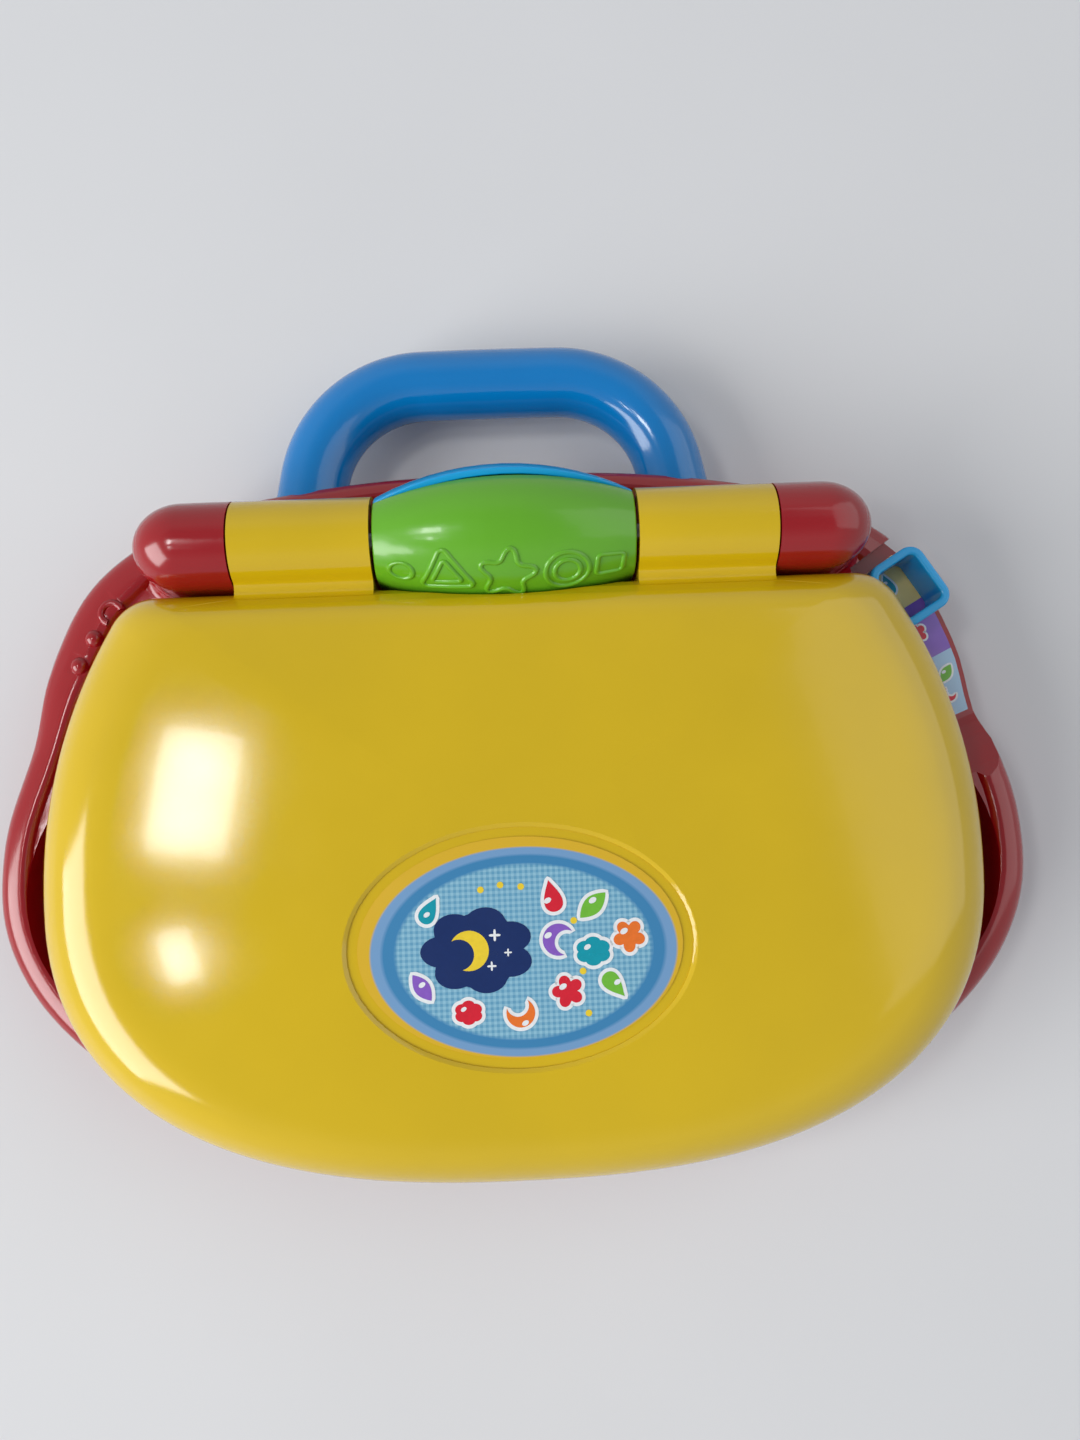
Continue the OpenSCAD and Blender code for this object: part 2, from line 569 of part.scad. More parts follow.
module base_top() {
    piece(RED) difference() {
        union() {
            difference() {
                base_skin([
                    [seam_z, 0], [crest_z - 6, 0.2], [crest_z - 3, rim_width * 0.16],
                    [crest_z - 1.1, rim_width * 0.45], [crest_z, rim_width * 0.84],
                    [crest_z - 0.3, rim_width * 1.02], [ledge_z, rim_width * 1.18]
                ]);
                difference() {
                    rear_form(seat_gap, cover_half + seat_gap, ledge_z);
                    box([-60, -60, 0], [120, 120, ledge_z]);
                }
            }
            both_sides() pocket(2.4, pocket_floor - 2.4, seam_z + 2);
            bumps();
            difference() {
                slab(deck_outline, ledge_z - 1, deck_z);
                skirt(cover_r, seat_gap, cover_half + seat_gap, ledge_z);
            }
            both_sides() {
                cap_barrel();
                slab(cap_plan, ledge_z - 1, hinge_z);
                loft([for (q = [[5, 0], [2.6, 0.6], [1.1, 2], [0.2, 5]])
                    at_z(inset(cap_plan, -q[0]), ledge_z - 0.3 + q[1])]);
                hinge_rod(9.3, 28, cover_half - 0.4);
                box([28, -9.3, ledge_z - 1], [cover_half - 28.4, 18.6, hinge_z - ledge_z + 1]);
            }
        }
        difference() {
            union() {
                base_skin([
                    [seam_z - 1, base_wall], [ledge_z - ledge_t - 3, base_wall + 0.6],
                        [ledge_z - ledge_t, base_wall + 4]
                ]);
                slab(inset(deck_outline, 2.5), ledge_z - ledge_t - 1, plate_z + 0.2);
            }
            sector(track_in_r - 2.4, track_r + 20, track_from - 4.6, track_to + 1, 0, sky);
            both_sides() pocket(2.4, 0, sky);
            for (p = screws) post(p, 4, seam_z, sky);
            cradles(seam_z, sky);
            post(reed_c, 4.4, plate_z - 4, sky);
        }
        slab(window_outline, plate_z - 1, deck_z + 1);
        both_sides() pocket(0, pocket_floor, sky);
        sector(track_in_r, track_r + 20, track_from, track_to, track_z, sky);
        track_ramp();
        difference() {
            sector(track_in_r - 3, track_r + 20, track_from - 2, track_to + 2, seam_z - 2, track_z - 2);
            base_skin([[seam_z - 4, base_wall], [track_z, base_wall]]);
        }
        sector(track_in_r - 3, track_in_r + 1, knob_angle - knob_travel - 1.6, knob_angle + knob_back + 1.6,
            tongue_z - 0.3, tongue_z + tongue_t + 0.3);
        for (p = screws) post(p, screw_r + 0.02, seam_z - 1, ledge_z - 2);
        for (x = [-peg_x, peg_x]) {
            post([x, front_peg_y], 1.95, seam_z, ledge_z + 1);
            post([x, rear_peg_y], 1.95, seam_z, ledge_z + 1);
        }
        both_sides() hinge_rod(pin_r + pin_seat, 27, 90);
        translate([reed_c.x - 8, reed_c.y, plate_z - 2.5]) rotate([0, 90, 0]) cylinder(r = 1.55, h = 16);
        handle_holes();
    }
}
pocket_floor = crest_z - pocket_depth;

// Three small beads on the left shoulder, one of them bent round a hollow.
module bumps() {
    for (p = [[18.9, -20.6], [14.9, -28.4]]) translate([p.x - waist, p.y, crest_z - 1.6]) sphere(2.9);
    translate([23.9 - waist, -13.4, crest_z - 0.5]) rotate([0, 0, 20])
        rotate_extrude(angle = 230) translate([3, 0]) circle(r = 1.1);
}

// The slope from the front end of the mode strip up to the rim, as a cut.
module track_ramp() {
    translate([track_c.x, track_c.y, 0]) loft([
        for (q = [[0.3, 0.1], [1.2, 0.7], [3.4, 1.6], [6.4, 2.7], [8.4, 3.6], [crest_z - track_z + 2, 5.4]])
            let (a = track_from - q[1]) at_z([
            track_in_r * [cos(a), sin(a)], (track_r + 20) * [cos(a), sin(a)],
            (track_r + 20) * [cos(track_from + 1), sin(track_from + 1)],
                track_in_r * [cos(track_from + 1), sin(track_from + 1)]
        ], track_z + q[0])
    ]);
}

module keyboard_plate() {
    piece([0.90, 0.90, 0.88]) difference() {
        slab(plate_outline, plate_z - plate_t, plate_z);
        for (i = [0:8]) slab(key_form(i, key_gap), 0, sky);
        box([power_x - 3.5 - power_travel / 2, -power_at - 2.6, 0], [7 + power_travel, 5.2, 60]);
        post(speaker_c, 1.6, 0, sky);
        for (q = [[6, 6.5], [12, 13]], i = [0:q[0] - 1])
            post(speaker_c + turned([q[1], 0], i * 360 / q[0]), 1.6, 0, sky);
    }
    piece([0.90, 0.90, 0.88]) for (a = speaker_ears)
        post(speaker_c + turned([speaker_r + 4, 0], a), 2.2, speaker_z - 1, plate_z - plate_t + 0.5);
}

module handle() {
    piece(BLUE) difference() {
        union() {
            handle_tube(handle_r, 0);
            translate([handle_x, 0, 0]) both_sides() handle_ears();
        }
        handle_tube(handle_r - 2.6, 1);
    }
}

module hinge_cover_front() {
    piece(GREEN) difference() {
        union() {
            intersection() {
                difference() {
                    front_form(0, cover_half, foot_z);
                    front_form(-cover_wall, cover_half + 1, foot_z - 1);
                    box([-60, -6, 0], [120, 60, hinge_z]);
                }
                front_space(0);
            }
            for (x = [-peg_x, peg_x]) post([x, front_peg_y], 1.8, foot_z - 3.4, foot_z + 8);
        }
        hinge_rod(9.6, -cover_half - 1, cover_half + 1);
    }
}

module hinge_cover_rear() {
    piece(CYAN) difference() {
        rear_form(0, cover_half, foot_z);
        rear_form(-cover_wall, cover_half + 1, foot_z - 1);
        box([-60, -60, 0], [120, 66, hinge_z]);
        box([-60, 0, 0], [120, 60, foot_z]);
        front_space(0.15);
    }
    piece(CYAN) for (x = [-peg_x, peg_x]) post([x, rear_peg_y], 1.8, foot_z - 3.4, foot_z + 8);
}

module hinge_pins() { piece([0.75, 0.76, 0.78]) both_sides() hinge_rod(pin_r, 28, 89.5); }

module battery_door() {
    piece(RED) difference() {
        union() {
            box([-door_w / 2, bay_y - door_l / 2, skid_h], [door_w, door_l, door_t]);
            post([0, bay_y - door_l / 2], 6, skid_h, skid_h + door_t);
            for (x = [-20, 12]) box([x, bay_y + door_l / 2 - 1, skid_h + 0.8], [8, 4, door_t - 1]);
        }
        post([0, bay_y - door_l / 2 - 2], screw_r + 0.3, 0, 20);
        post([0, bay_y - door_l / 2 - 2], 2.7, 0, skid_h + 0.8);
    }
}

module screw(p, head_r, head_z, head_h, to) {
    difference() {
        union() {
            post(p, head_r, head_z, head_z + head_h);
            post(p, screw_r, head_z, to);
        }
        for (a = [0, 90]) translate([p.x, p.y, head_z - 1]) rotate([0, 0, a]) translate([-1.3, -0.3, 0])
            cube([2.6, 0.6, 1.8]);
    }
}
module door_screw() { piece([0.72, 0.73, 0.75])
    screw([0, bay_y - door_l / 2 - 2], 2.5, skid_h + 0.1, 0.7, pad_top + 6); }
module case_screws() {
    piece([0.72, 0.73, 0.75]) for (p = screws) screw(p, 2.9, skid_h + 4.1, 1.9, ledge_z - 3);
}

module batteries() {
    piece([0.16, 0.45, 0.25]) for (i = [-1:1])
        translate([-cell_l / 2 + 0.4 * i, bay_y + i * (2 * cell_r + 1), cell_z])
        rotate([0, 90, 0]) {
            cylinder(r = cell_r, h = cell_l);
            if (i == 0) translate([0, 0, -1.1]) cylinder(r = 2.7, h = 1.2);
            if (i != 0) translate([0, 0, cell_l - 0.1]) cylinder(r = 2.7, h = 1.2);
        }
}

module battery_contacts() {
    piece([0.80, 0.81, 0.83]) for (i = [-1:1], s = [-1, 1])
        translate([s * (bay_w / 2 - 0.3), bay_y + i * (2 * cell_r + 1), cell_z])
        rotate([0, -90 * s, 0]) {
            translate([-5, -5, -0.2]) cube([10, 10, 0.5]);
            if ((i == 0 && s > 0) || (i != 0 && s < 0)) cylinder(r1 = 4.4, r2 = 3, h = 3.2);
        }
}

module main_board() {
    piece([0.10, 0.38, 0.20]) difference() {
        slab(board_outline, board_z, board_z + board_t);
        for (p = board_posts) post(p, 1.2, 0, sky);
    }
    piece([0.08, 0.08, 0.09]) for (x = [-36, 36]) box([x - 5, -103, board_z + board_t - 0.1], [10, 10, 1.4]);
}

module speaker() {
    piece([0.12, 0.12, 0.13]) translate([speaker_c.x, speaker_c.y, speaker_z]) rotate_extrude() polygon([
        [0, -8.5], [9, -8.5], [9, -3.5], [speaker_r - 3, -1], [speaker_r, -1], [speaker_r, 1.2],
        [speaker_r - 2, 1.2], [6, -2.2], [4, -1.6], [0, -1]
    ]);
}
module speaker_clamp() {
    piece([0.72, 0.73, 0.75]) difference() {
        union() {
            post(speaker_c, speaker_r + 1.5, speaker_z - 2.2, speaker_z - 1.1);
            for (a = speaker_ears) post(speaker_c + turned([speaker_r + 4, 0], a), 3.4, speaker_z - 2.2,
                speaker_z - 1.1);
        }
        post(speaker_c, speaker_r - 2.6, 0, sky);
        for (a = speaker_ears) post(speaker_c + turned([speaker_r + 4, 0], a), 1.2, 0, sky);
    }
}

module reed_switch() {
    piece([0.62, 0.72, 0.70]) translate([reed_c.x - 7.5, reed_c.y, plate_z - 2.5]) rotate([0, 90, 0])
        cylinder(r = 1.5, h = 15);
}

module mode_label() {
    piece(PURPLE) intersection() {
        sector(track_in_r + 0.8, track_r - 1, track_from + track_play, knob_angle + knob_half_angle, track_z,
            track_z + 0.15);
        slab(inset(base_outline, 1.5), 0, sky);
    }
}

module mode_board() {
    piece([0.10, 0.38, 0.20]) sector(carriage_r - 9, carriage_r + 3.4, track_from + 0.7, track_to + 2,
        seam_z + 0.6, seam_z + 0.6 + board_t);
    piece([0.85, 0.70, 0.30]) for (i = [0:2]) sector(
        carriage_r - 6, carriage_r - 3, knob_angle - knob_travel * i / 2 - 1,
            knob_angle - knob_travel * i / 2 + 1,
        seam_z + 0.5 + board_t, seam_z + 0.7 + board_t
    );
}

module mode_knob() {
    piece(CYAN) at_knob() {
        difference() {
            slab(knob_plan(0), knob_z, knob_z + knob_h);
            slab(knob_plan(knob_wall), 0, sky);
        }
        box([track_in_r - 6, -5, tongue_z], [7.5, 10, tongue_t]);
    }
}
module mode_carriage() {
    piece([0.86, 0.86, 0.84]) at_knob() difference() {
        box([carriage_r - 6, -6, seam_z + 1.1 + board_t], [12.4, 12, 6]);
        box([track_in_r - 6.2, -5.1, tongue_z - 0.1], [20, 10.2, tongue_t + 0.2]);
    }
}

module power_knob() {
    piece(ORANGE) {
        slab([for (p = rounded(box_points(11, 9), 2.5, 6)) p + power_c], plate_z + 0.3, plate_z + 2.8);
        box([power_x - 3, -power_at - 2, stem_z - 0.6], [6, 4, plate_z - stem_z + 2]);
        box([power_x - 6, -power_at - 5, flange_z], [12, 10, flange_t]);
    }
}
module power_board() {
    piece([0.10, 0.38, 0.20]) box([power_x - 14, -power_at - 9, board_z], [28, 18, board_t]);
    piece([0.10, 0.10, 0.11]) difference() {
        box([power_x - 11, -power_at - 5, board_z + board_t - 0.1], [22, 10, 4.6]);
        box([power_x - 3.6 - power_travel / 2, -power_at - 2.4, stem_z - 1], [7.2 + power_travel, 4.8, 10]);
    }
}

module key_heart() { piece(KEYS[0][3]) key(0); }
module key_triangle() { piece(KEYS[1][3]) key(1); }
module key_oval() { piece(KEYS[2][3]) key(2); }
module key_square() { piece(KEYS[3][3]) key(3); }
module key_star() { piece(KEYS[4][3]) key(4); }
module key_circle() { piece(KEYS[5][3]) key(5); }
module key_diamond() { piece(KEYS[6][3]) key(6); }
module key_rectangle() { piece(KEYS[7][3]) key(7); }
module key_hexagon() { piece(KEYS[8][3]) key(8); }
module dome_heart() { piece([0.80, 0.82, 0.82]) dome(0); }
module dome_triangle() { piece([0.80, 0.82, 0.82]) dome(1); }
module dome_oval() { piece([0.80, 0.82, 0.82]) dome(2); }
module dome_square() { piece([0.80, 0.82, 0.82]) dome(3); }
module dome_star() { piece([0.80, 0.82, 0.82]) dome(4); }
module dome_circle() { piece([0.80, 0.82, 0.82]) dome(5); }
module dome_diamond() { piece([0.80, 0.82, 0.82]) dome(6); }
module dome_rectangle() { piece([0.80, 0.82, 0.82]) dome(7); }
module dome_hexagon() { piece([0.80, 0.82, 0.82]) dome(8); }

opening_w = window_w + 12;
opening_l = window_l + 12;
screen_c = [0, -lid_wide_at];
module frame_slab(w, l, r, from, to) {
    slab([for (p = rounded(box_points(w, l), r, 8)) p + screen_c], from, to);
}
bezel_top = panel_top + 1.7;
neck_r = 2.8;
neck_c = [0, hinge_z] + (barrel_r + neck_r) * [cos(155), sin(155)];
window_top = bezel_top + 1.6;

module lid_cover() {
    piece(YELLOW) difference() {
        union() {
            lid_outside();
            both_sides() {
                hinge_rod(barrel_r, knuckle_start, knuckle_end);
                along_x(knuckle_start, knuckle_end) polygon(concat(
                    [[-4, rim_z + 2], [-14.5, rim_z + 2], [-17, hinge_z + 2]],
                        arc(neck_c, neck_r, -155, -25, 8), [[-4, hinge_z + 5]]
                ));
            }
        }
        difference() {
            lid_inside();
            front_form(notch_gap + lid_wall, knuckle_start + lid_wall, rim_z - 3);
            for (p = lid_screw_places) post(p, 4, panel_top + 0.1, 70);
        }
        front_form(notch_gap, knuckle_start, rim_z - 3);
        difference() {
            union() {
                oval_prism(recess_w, recess_l);
                loft([for (q = [[-0.3, 0.8], [0.5, 0.3], [recess_lip, -0.14], [recess_lip, -2]])
                    recess_ring(q[0], q[1])]);
            }
            crown_patch(recess_depth);
        }
        both_sides() hinge_rod(pin_r + pin_run, knuckle_start - 1, knuckle_end + 1);
        for (p = lid_screw_places) post(p, screw_r + 0.02, panel_top, panel_top + 11);
    }
}

module lid_panel() {
    piece([0.90, 0.90, 0.88]) difference() {
        slab(inset(lid_outline, lid_in + 0.3), panel_z, panel_top);
        front_form(notch_gap + lid_wall + 0.3, knuckle_start + lid_wall + 0.3, rim_z - 3);
        frame_slab(opening_w, opening_l, 8, 0, sky);
        for (p = lid_screw_places) {
            post(p, screw_r + 0.3, 0, sky);
            post(p, 3.1, 0, panel_z + 1);
        }
    }
    piece([0.90, 0.90, 0.88]) difference() {
        post(reed_c, 5.6, panel_top - 0.5, panel_top + 3);
        post(reed_c, 4.2, panel_top, panel_top + 4);
    }
}

module screen_bezel() {
    piece(BLUE) difference() {
        union() {
            frame_slab(opening_w - 2 * seat_gap, opening_l - 2 * seat_gap, 7.7, panel_z - 0.3, bezel_top);
            frame_slab(opening_w + 6, opening_l + 6, 10, panel_top + 0.1, bezel_top);
        }
        frame_slab(window_w, window_l, 4, 0, sky);
    }
}
module screen_window() { piece([0.85, 0.90, 0.92])
    frame_slab(window_w + 8, window_l + 8, 6, bezel_top + 0.05, window_top); }
module display() {
    piece([0.55, 0.62, 0.52]) box([screen_c.x - window_w / 2 - 2, screen_c.y - window_l / 2 - 2,
        window_top + 0.1], [window_w + 4, window_l + 4, 3]);
}
module display_board() {
    piece([0.10, 0.38, 0.20]) frame_slab(window_w + 14, window_l + 4, 3, window_top + 3.4,
        window_top + 3.4 + board_t);
}

module lid_label() {
    piece([0.35, 0.60, 0.85]) difference() {
        intersection() {
            oval_prism(label_w, label_l);
            crown_patch(recess_depth - 0.3);
        }
        crown_patch(recess_depth - 0.05);
    }
}

module lid_screws() { piece([0.72, 0.73, 0.75]) for (p = lid_screw_places)
    screw(p, 2.8, panel_z + 0.1, 0.9, panel_top + 10); }
module lid_magnet() { piece([0.45, 0.46, 0.48]) post(reed_c, 4, panel_top + 0.1, panel_top + 3); }

base_bottom();
base_top();
keyboard_plate();
handle();
hinge_cover_front();
hinge_cover_rear();
hinge_pins();
battery_door();
door_screw();
batteries();
battery_contacts();
case_screws();
main_board();
speaker();
speaker_clamp();
reed_switch();
mode_label();
mode_board();
power_board();
mode_knob();
mode_carriage();
power_knob();
key_heart();
key_triangle();
key_oval();
key_square();
key_star();
key_circle();
key_diamond();
key_rectangle();
key_hexagon();
dome_heart();
dome_triangle();
dome_oval();
dome_square();
dome_star();
dome_circle();
dome_diamond();
dome_rectangle();
dome_hexagon();
lid_cover();
lid_panel();
screen_bezel();
screen_window();
display();
display_board();
lid_label();
lid_screws();
lid_magnet();
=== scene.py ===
"""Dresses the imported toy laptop: smooth moulded plastics, generic printed labels, floor, lights and camera.

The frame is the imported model's: +X right, +Y rear, +Z up. Blender's lengths are metres. Prints and reliefs
are drawn in millimetres and brought to metres by MM.
"""

import json
import math

import bmesh
import bpy
import numpy as np
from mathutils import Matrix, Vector
from mathutils.bvhtree import BVHTree


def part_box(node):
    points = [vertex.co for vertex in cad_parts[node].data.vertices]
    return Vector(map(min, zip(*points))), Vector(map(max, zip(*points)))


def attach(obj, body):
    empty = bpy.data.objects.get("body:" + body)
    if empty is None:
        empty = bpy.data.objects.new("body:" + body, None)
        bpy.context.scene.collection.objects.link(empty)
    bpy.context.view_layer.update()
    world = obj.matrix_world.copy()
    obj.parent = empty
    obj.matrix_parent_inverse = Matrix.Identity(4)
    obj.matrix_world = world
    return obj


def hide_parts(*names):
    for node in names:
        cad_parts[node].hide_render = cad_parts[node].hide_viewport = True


MM = 0.001
ABOVE = 100.0  # where a ray that looks for a surface starts, in millimetres from it
TINY = 1e-12

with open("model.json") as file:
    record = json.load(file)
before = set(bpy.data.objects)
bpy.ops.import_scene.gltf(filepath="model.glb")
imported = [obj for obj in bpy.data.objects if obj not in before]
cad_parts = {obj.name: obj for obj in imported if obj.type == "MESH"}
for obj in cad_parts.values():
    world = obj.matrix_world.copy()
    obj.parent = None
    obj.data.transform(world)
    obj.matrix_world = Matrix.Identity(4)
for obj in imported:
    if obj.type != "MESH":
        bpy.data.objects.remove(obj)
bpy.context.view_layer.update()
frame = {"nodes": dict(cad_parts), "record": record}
nodes = frame["nodes"]

# ---------- sizes of the CAD model that the prints and reliefs follow, in millimetres ----------

HINGE_Y = 51.5
HINGE_Z = 46.0
COVER_R = 18.0
LABEL_CENTRE = (0.0, HINGE_Y - 110.0)
LABEL_HALF = (41.0, 27.5)
PRINT_CENTRE = (LABEL_CENTRE[0] + 0.8, LABEL_CENTRE[1] - 1.1)
TRACK_CENTRE = (-81.52, -82.11)
STRIP_TOP = 19.15

# ---------- materials ----------


class Nodes:
    """A small builder for one node tree."""

    def __init__(self, tree):
        self.tree = tree
        self.coords = None

    def node(self, kind, **settings):
        made = self.tree.nodes.new(kind)
        for key, value in settings.items():
            setattr(made, key, value)
        return made

    def link(self, source, target):
        self.tree.links.new(source, target)

    def feed(self, value, socket):
        """Gives a socket a link from another, a colour or a number."""
        if isinstance(value, bpy.types.NodeSocket):
            self.link(value, socket)
        else:
            socket.default_value = (*value, 1) if isinstance(value, tuple) else value

    def position(self):
        """Object coordinates, which stay with the piece in every pose."""
        if self.coords is None:
            self.coords = self.node("ShaderNodeTexCoord").outputs["Object"]
        return self.coords

    def noise(self, scale, detail=3.0, roughness=0.5):
        made = self.node("ShaderNodeTexNoise")
        made.inputs["Scale"].default_value = scale
        made.inputs["Detail"].default_value = detail
        made.inputs["Roughness"].default_value = roughness
        self.link(self.position(), made.inputs["Vector"])
        return made.outputs["Fac"]

    def ramp(self, value, low, high, out_low, out_high):
        made = self.node("ShaderNodeMapRange")
        given = {"Value": value, "From Min": low, "From Max": high, "To Min": out_low, "To Max": out_high}
        for socket, number in given.items():
            self.feed(number, made.inputs[socket])
        return made.outputs["Result"]

    def patches(self, scale, detail=3.0, high=1.0):
        """Soft uneven patches between 0 and high."""
        return self.ramp(self.noise(scale, detail), 0.3, 0.7, 0, high)

    def mix(self, share, first, second):
        """A mix of two colours. A Mix node keeps its colours in sockets 6 and 7, and gives one in 2."""
        made = self.node("ShaderNodeMix", data_type="RGBA")
        for value, socket in ((share, 0), (first, 6), (second, 7)):
            self.feed(value, made.inputs[socket])
        return made.outputs[2]

    def axes(self, vector):
        """The X, Y and Z of a vector."""
        made = self.node("ShaderNodeSeparateXYZ")
        self.link(vector, made.inputs[0])
        return made.outputs

    def math(self, kind, *values):
        made = self.node("ShaderNodeMath", operation=kind)
        for value, socket in zip(values, made.inputs):
            self.feed(value, socket)
        return made.outputs[0]

    def seen(self):
        """1 for the rays that look at the background: from the camera, by a mirror or through glass."""
        path = self.node("ShaderNodeLightPath").outputs
        bounced = self.math("MAXIMUM", path["Is Glossy Ray"], path["Is Transmission Ray"])
        return self.math("MAXIMUM", path["Is Camera Ray"], bounced)

    def blend(self, share, first, second, output):
        """Sends a mix of two shaders to the output node."""
        made = self.node("ShaderNodeMixShader")
        for value, socket in zip((share, first, second), made.inputs):
            self.link(value, socket)
        self.link(made.outputs[0], self.tree.nodes[output].inputs["Surface"])

    def bump(self, height, distance, strength, under=None):
        made = self.node("ShaderNodeBump")
        made.inputs["Distance"].default_value = distance
        made.inputs["Strength"].default_value = strength
        self.link(height, made.inputs["Height"])
        if under is not None:
            self.link(under, made.inputs["Normal"])
        return made.outputs["Normal"]


class Shader(Nodes):
    """The node tree of one material."""

    def __init__(self, name):
        self.material = bpy.data.materials.new(name)
        self.material.use_nodes = True
        super().__init__(self.material.node_tree)
        self.shader = self.tree.nodes["Principled BSDF"]

    def set(self, socket, value):
        self.feed(value, self.shader.inputs[socket])


def shade(color, factor):
    return tuple(min(1.0, channel * factor) for channel in color)


def moulded(name, color, rough, grain=0.01 * MM):
    """Moulded plastic: faint colour flow, a fine grain, and handling marks that only the gloss shows."""
    look = Shader(name)
    look.set("Base Color", look.mix(look.patches(14, 4), shade(color, 0.94), shade(color, 1.05)))
    look.set("Roughness", look.ramp(look.noise(55, 6, 0.65), 0.35, 0.75, rough, rough + 0.06))
    sink = look.bump(look.noise(22, 2), 0.12 * MM, 0.25)
    look.set("Normal", look.bump(look.noise(2600, 2), grain, 0.6, sink))
    look.set("IOR", 1.5)
    look.set("Coat Weight", 0.2)
    look.set("Coat Roughness", 0.04)
    return look.material


def metal(name, color, rough=0.28):
    """Plated metal with a fine uneven polish."""
    look = Shader(name)
    look.set("Base Color", look.mix(look.patches(160, 4), shade(color, 0.85), color))
    look.set("Roughness", look.ramp(look.noise(420, 4), 0.3, 0.7, rough, rough + 0.16))
    look.set("Metallic", 1.0)
    return look.material


def board(name):
    """Green solder mask with faint copper tracks under it."""
    look = Shader(name)
    tracks = look.node("ShaderNodeTexBrick", offset=0.37)
    tracks.inputs["Scale"].default_value = 90
    tracks.inputs["Mortar Size"].default_value = 0.03
    look.link(look.position(), tracks.inputs["Vector"])
    look.set("Base Color", look.mix(tracks.outputs["Fac"], (0.012, 0.11, 0.035), (0.03, 0.20, 0.06)))
    look.set("Roughness", look.ramp(look.noise(300), 0.3, 0.7, 0.3, 0.42))
    return look.material


def clear_plastic(name):
    look = Shader(name)
    look.set("Transmission Weight", 1.0)
    look.set("IOR", 1.49)
    look.set("Roughness", look.ramp(look.noise(60, 5), 0.4, 0.8, 0.02, 0.1))
    return look.material


RED = (0.31, 0.003, 0.007)
YELLOW = (0.64, 0.43, 0.004)
BLUE = (0.0, 0.183, 0.50)
GREEN = (0.12, 0.40, 0.013)
CYAN = (0.0, 0.325, 0.68)

finishes = {
    "red_plastic": moulded("red_moulded", RED, 0.14),
    "yellow_plastic": moulded("yellow_moulded", YELLOW, 0.07, 0.02 * MM),
    "blue_plastic": moulded("blue_moulded", BLUE, 0.12),
    "green_plastic": moulded("green_moulded", GREEN, 0.2),
    "cyan_plastic": moulded("cyan_moulded", CYAN, 0.22),
    "white_plastic": moulded("white_moulded", (0.72, 0.72, 0.69), 0.38, 0.04 * MM),
    "orange_plastic": moulded("orange_moulded", (0.82, 0.19, 0.02), 0.2),
    "purple_plastic": moulded("purple_moulded", (0.20, 0.06, 0.36), 0.2),
    "teal_plastic": moulded("teal_moulded", (0.0, 0.18, 0.36), 0.2),
    "heart_red_plastic": moulded("bright_red_moulded", (0.62, 0.01, 0.03), 0.2),
    "steel": metal("zinc_plate", (0.62, 0.63, 0.65)),
    "plated_steel": metal("nickel_plate", (0.70, 0.68, 0.64), 0.16),
    "cell_jacket": moulded("cell_jacket", (0.02, 0.16, 0.06), 0.3),
    "circuit_board": board("solder_mask"),
    "speaker_parts": moulded("speaker_paint", (0.02, 0.02, 0.022), 0.5),
    "reed_glass": moulded("reed_glass", (0.30, 0.42, 0.38), 0.1),
    "silicone": moulded("silicone", (0.62, 0.65, 0.65), 0.6),
    "display_glass": moulded("display_glass", (0.22, 0.28, 0.20), 0.12),
    "magnet": metal("magnet_plate", (0.42, 0.41, 0.40)),
    "mode_print": moulded("mode_print", (0.25, 0.10, 0.45), 0.25),
    "lid_print": moulded("lid_print", (0.25, 0.52, 0.80), 0.2),
    "clear_window": clear_plastic("clear_window"),
}

# ---------- the CAD pieces ----------

# Faces that meet at more than this are shaded as an edge. The lid's is less, for the lip of its recess.
SHARP, LID_SHARP = math.radians(32), math.radians(21)
WELD = 0.001 * MM
MAX_BULGE = 0.4 * MM
# Faces that meet at less than FLAT are made one, and where they meet at more than HARD the edge is rounded.
FLAT, HARD = math.radians(0.6), math.radians(50)
EDGE_STEPS = 3
LARGE_FACE_WEIGHT = 80
slots = {part["node"]: part["material_slot"] for part in frame["record"]["subparts"]}
bodies = frame["record"]["behaviour"]["bodies"]
body_of_node = {node: name for name, members in bodies.items() for node in members}


def welded_smooth():
    """A node group that joins the corners of a mesh and smooths all but its sharp edges."""
    group = bpy.data.node_groups.new("weld_and_smooth", "GeometryNodeTree")
    for way in ("INPUT", "OUTPUT"):
        group.interface.new_socket("Geometry", in_out=way, socket_type="NodeSocketGeometry")
    start, end = group.nodes.new("NodeGroupInput"), group.nodes.new("NodeGroupOutput")
    weld = group.nodes.new("GeometryNodeMergeByDistance")
    weld.inputs["Distance"].default_value = WELD
    angle = group.nodes.new("GeometryNodeInputMeshEdgeAngle")
    below = group.nodes.new("FunctionNodeCompare")
    below.data_type, below.operation = "FLOAT", "LESS_THAN"
    below.inputs[1].default_value = SHARP
    faces = group.nodes.new("GeometryNodeSetShadeSmooth")
    edges = group.nodes.new("GeometryNodeSetShadeSmooth")
    edges.domain = "EDGE"
    link = group.links.new
    link(start.outputs[0], weld.inputs["Geometry"])
    link(weld.outputs[0], faces.inputs["Geometry"])
    link(faces.outputs[0], edges.inputs["Geometry"])
    link(angle.outputs["Unsigned Angle"], below.inputs[0])
    link(below.outputs[0], edges.inputs["Shade Smooth"])
    link(edges.outputs[0], end.inputs[0])
    return group


def weighted_normals(piece):
    """Lets the large faces of a piece set the shading of the small ones beside them."""
    modifier = piece.modifiers.new("normals", "WEIGHTED_NORMAL")
    modifier.keep_sharp = True
    modifier.weight = LARGE_FACE_WEIGHT


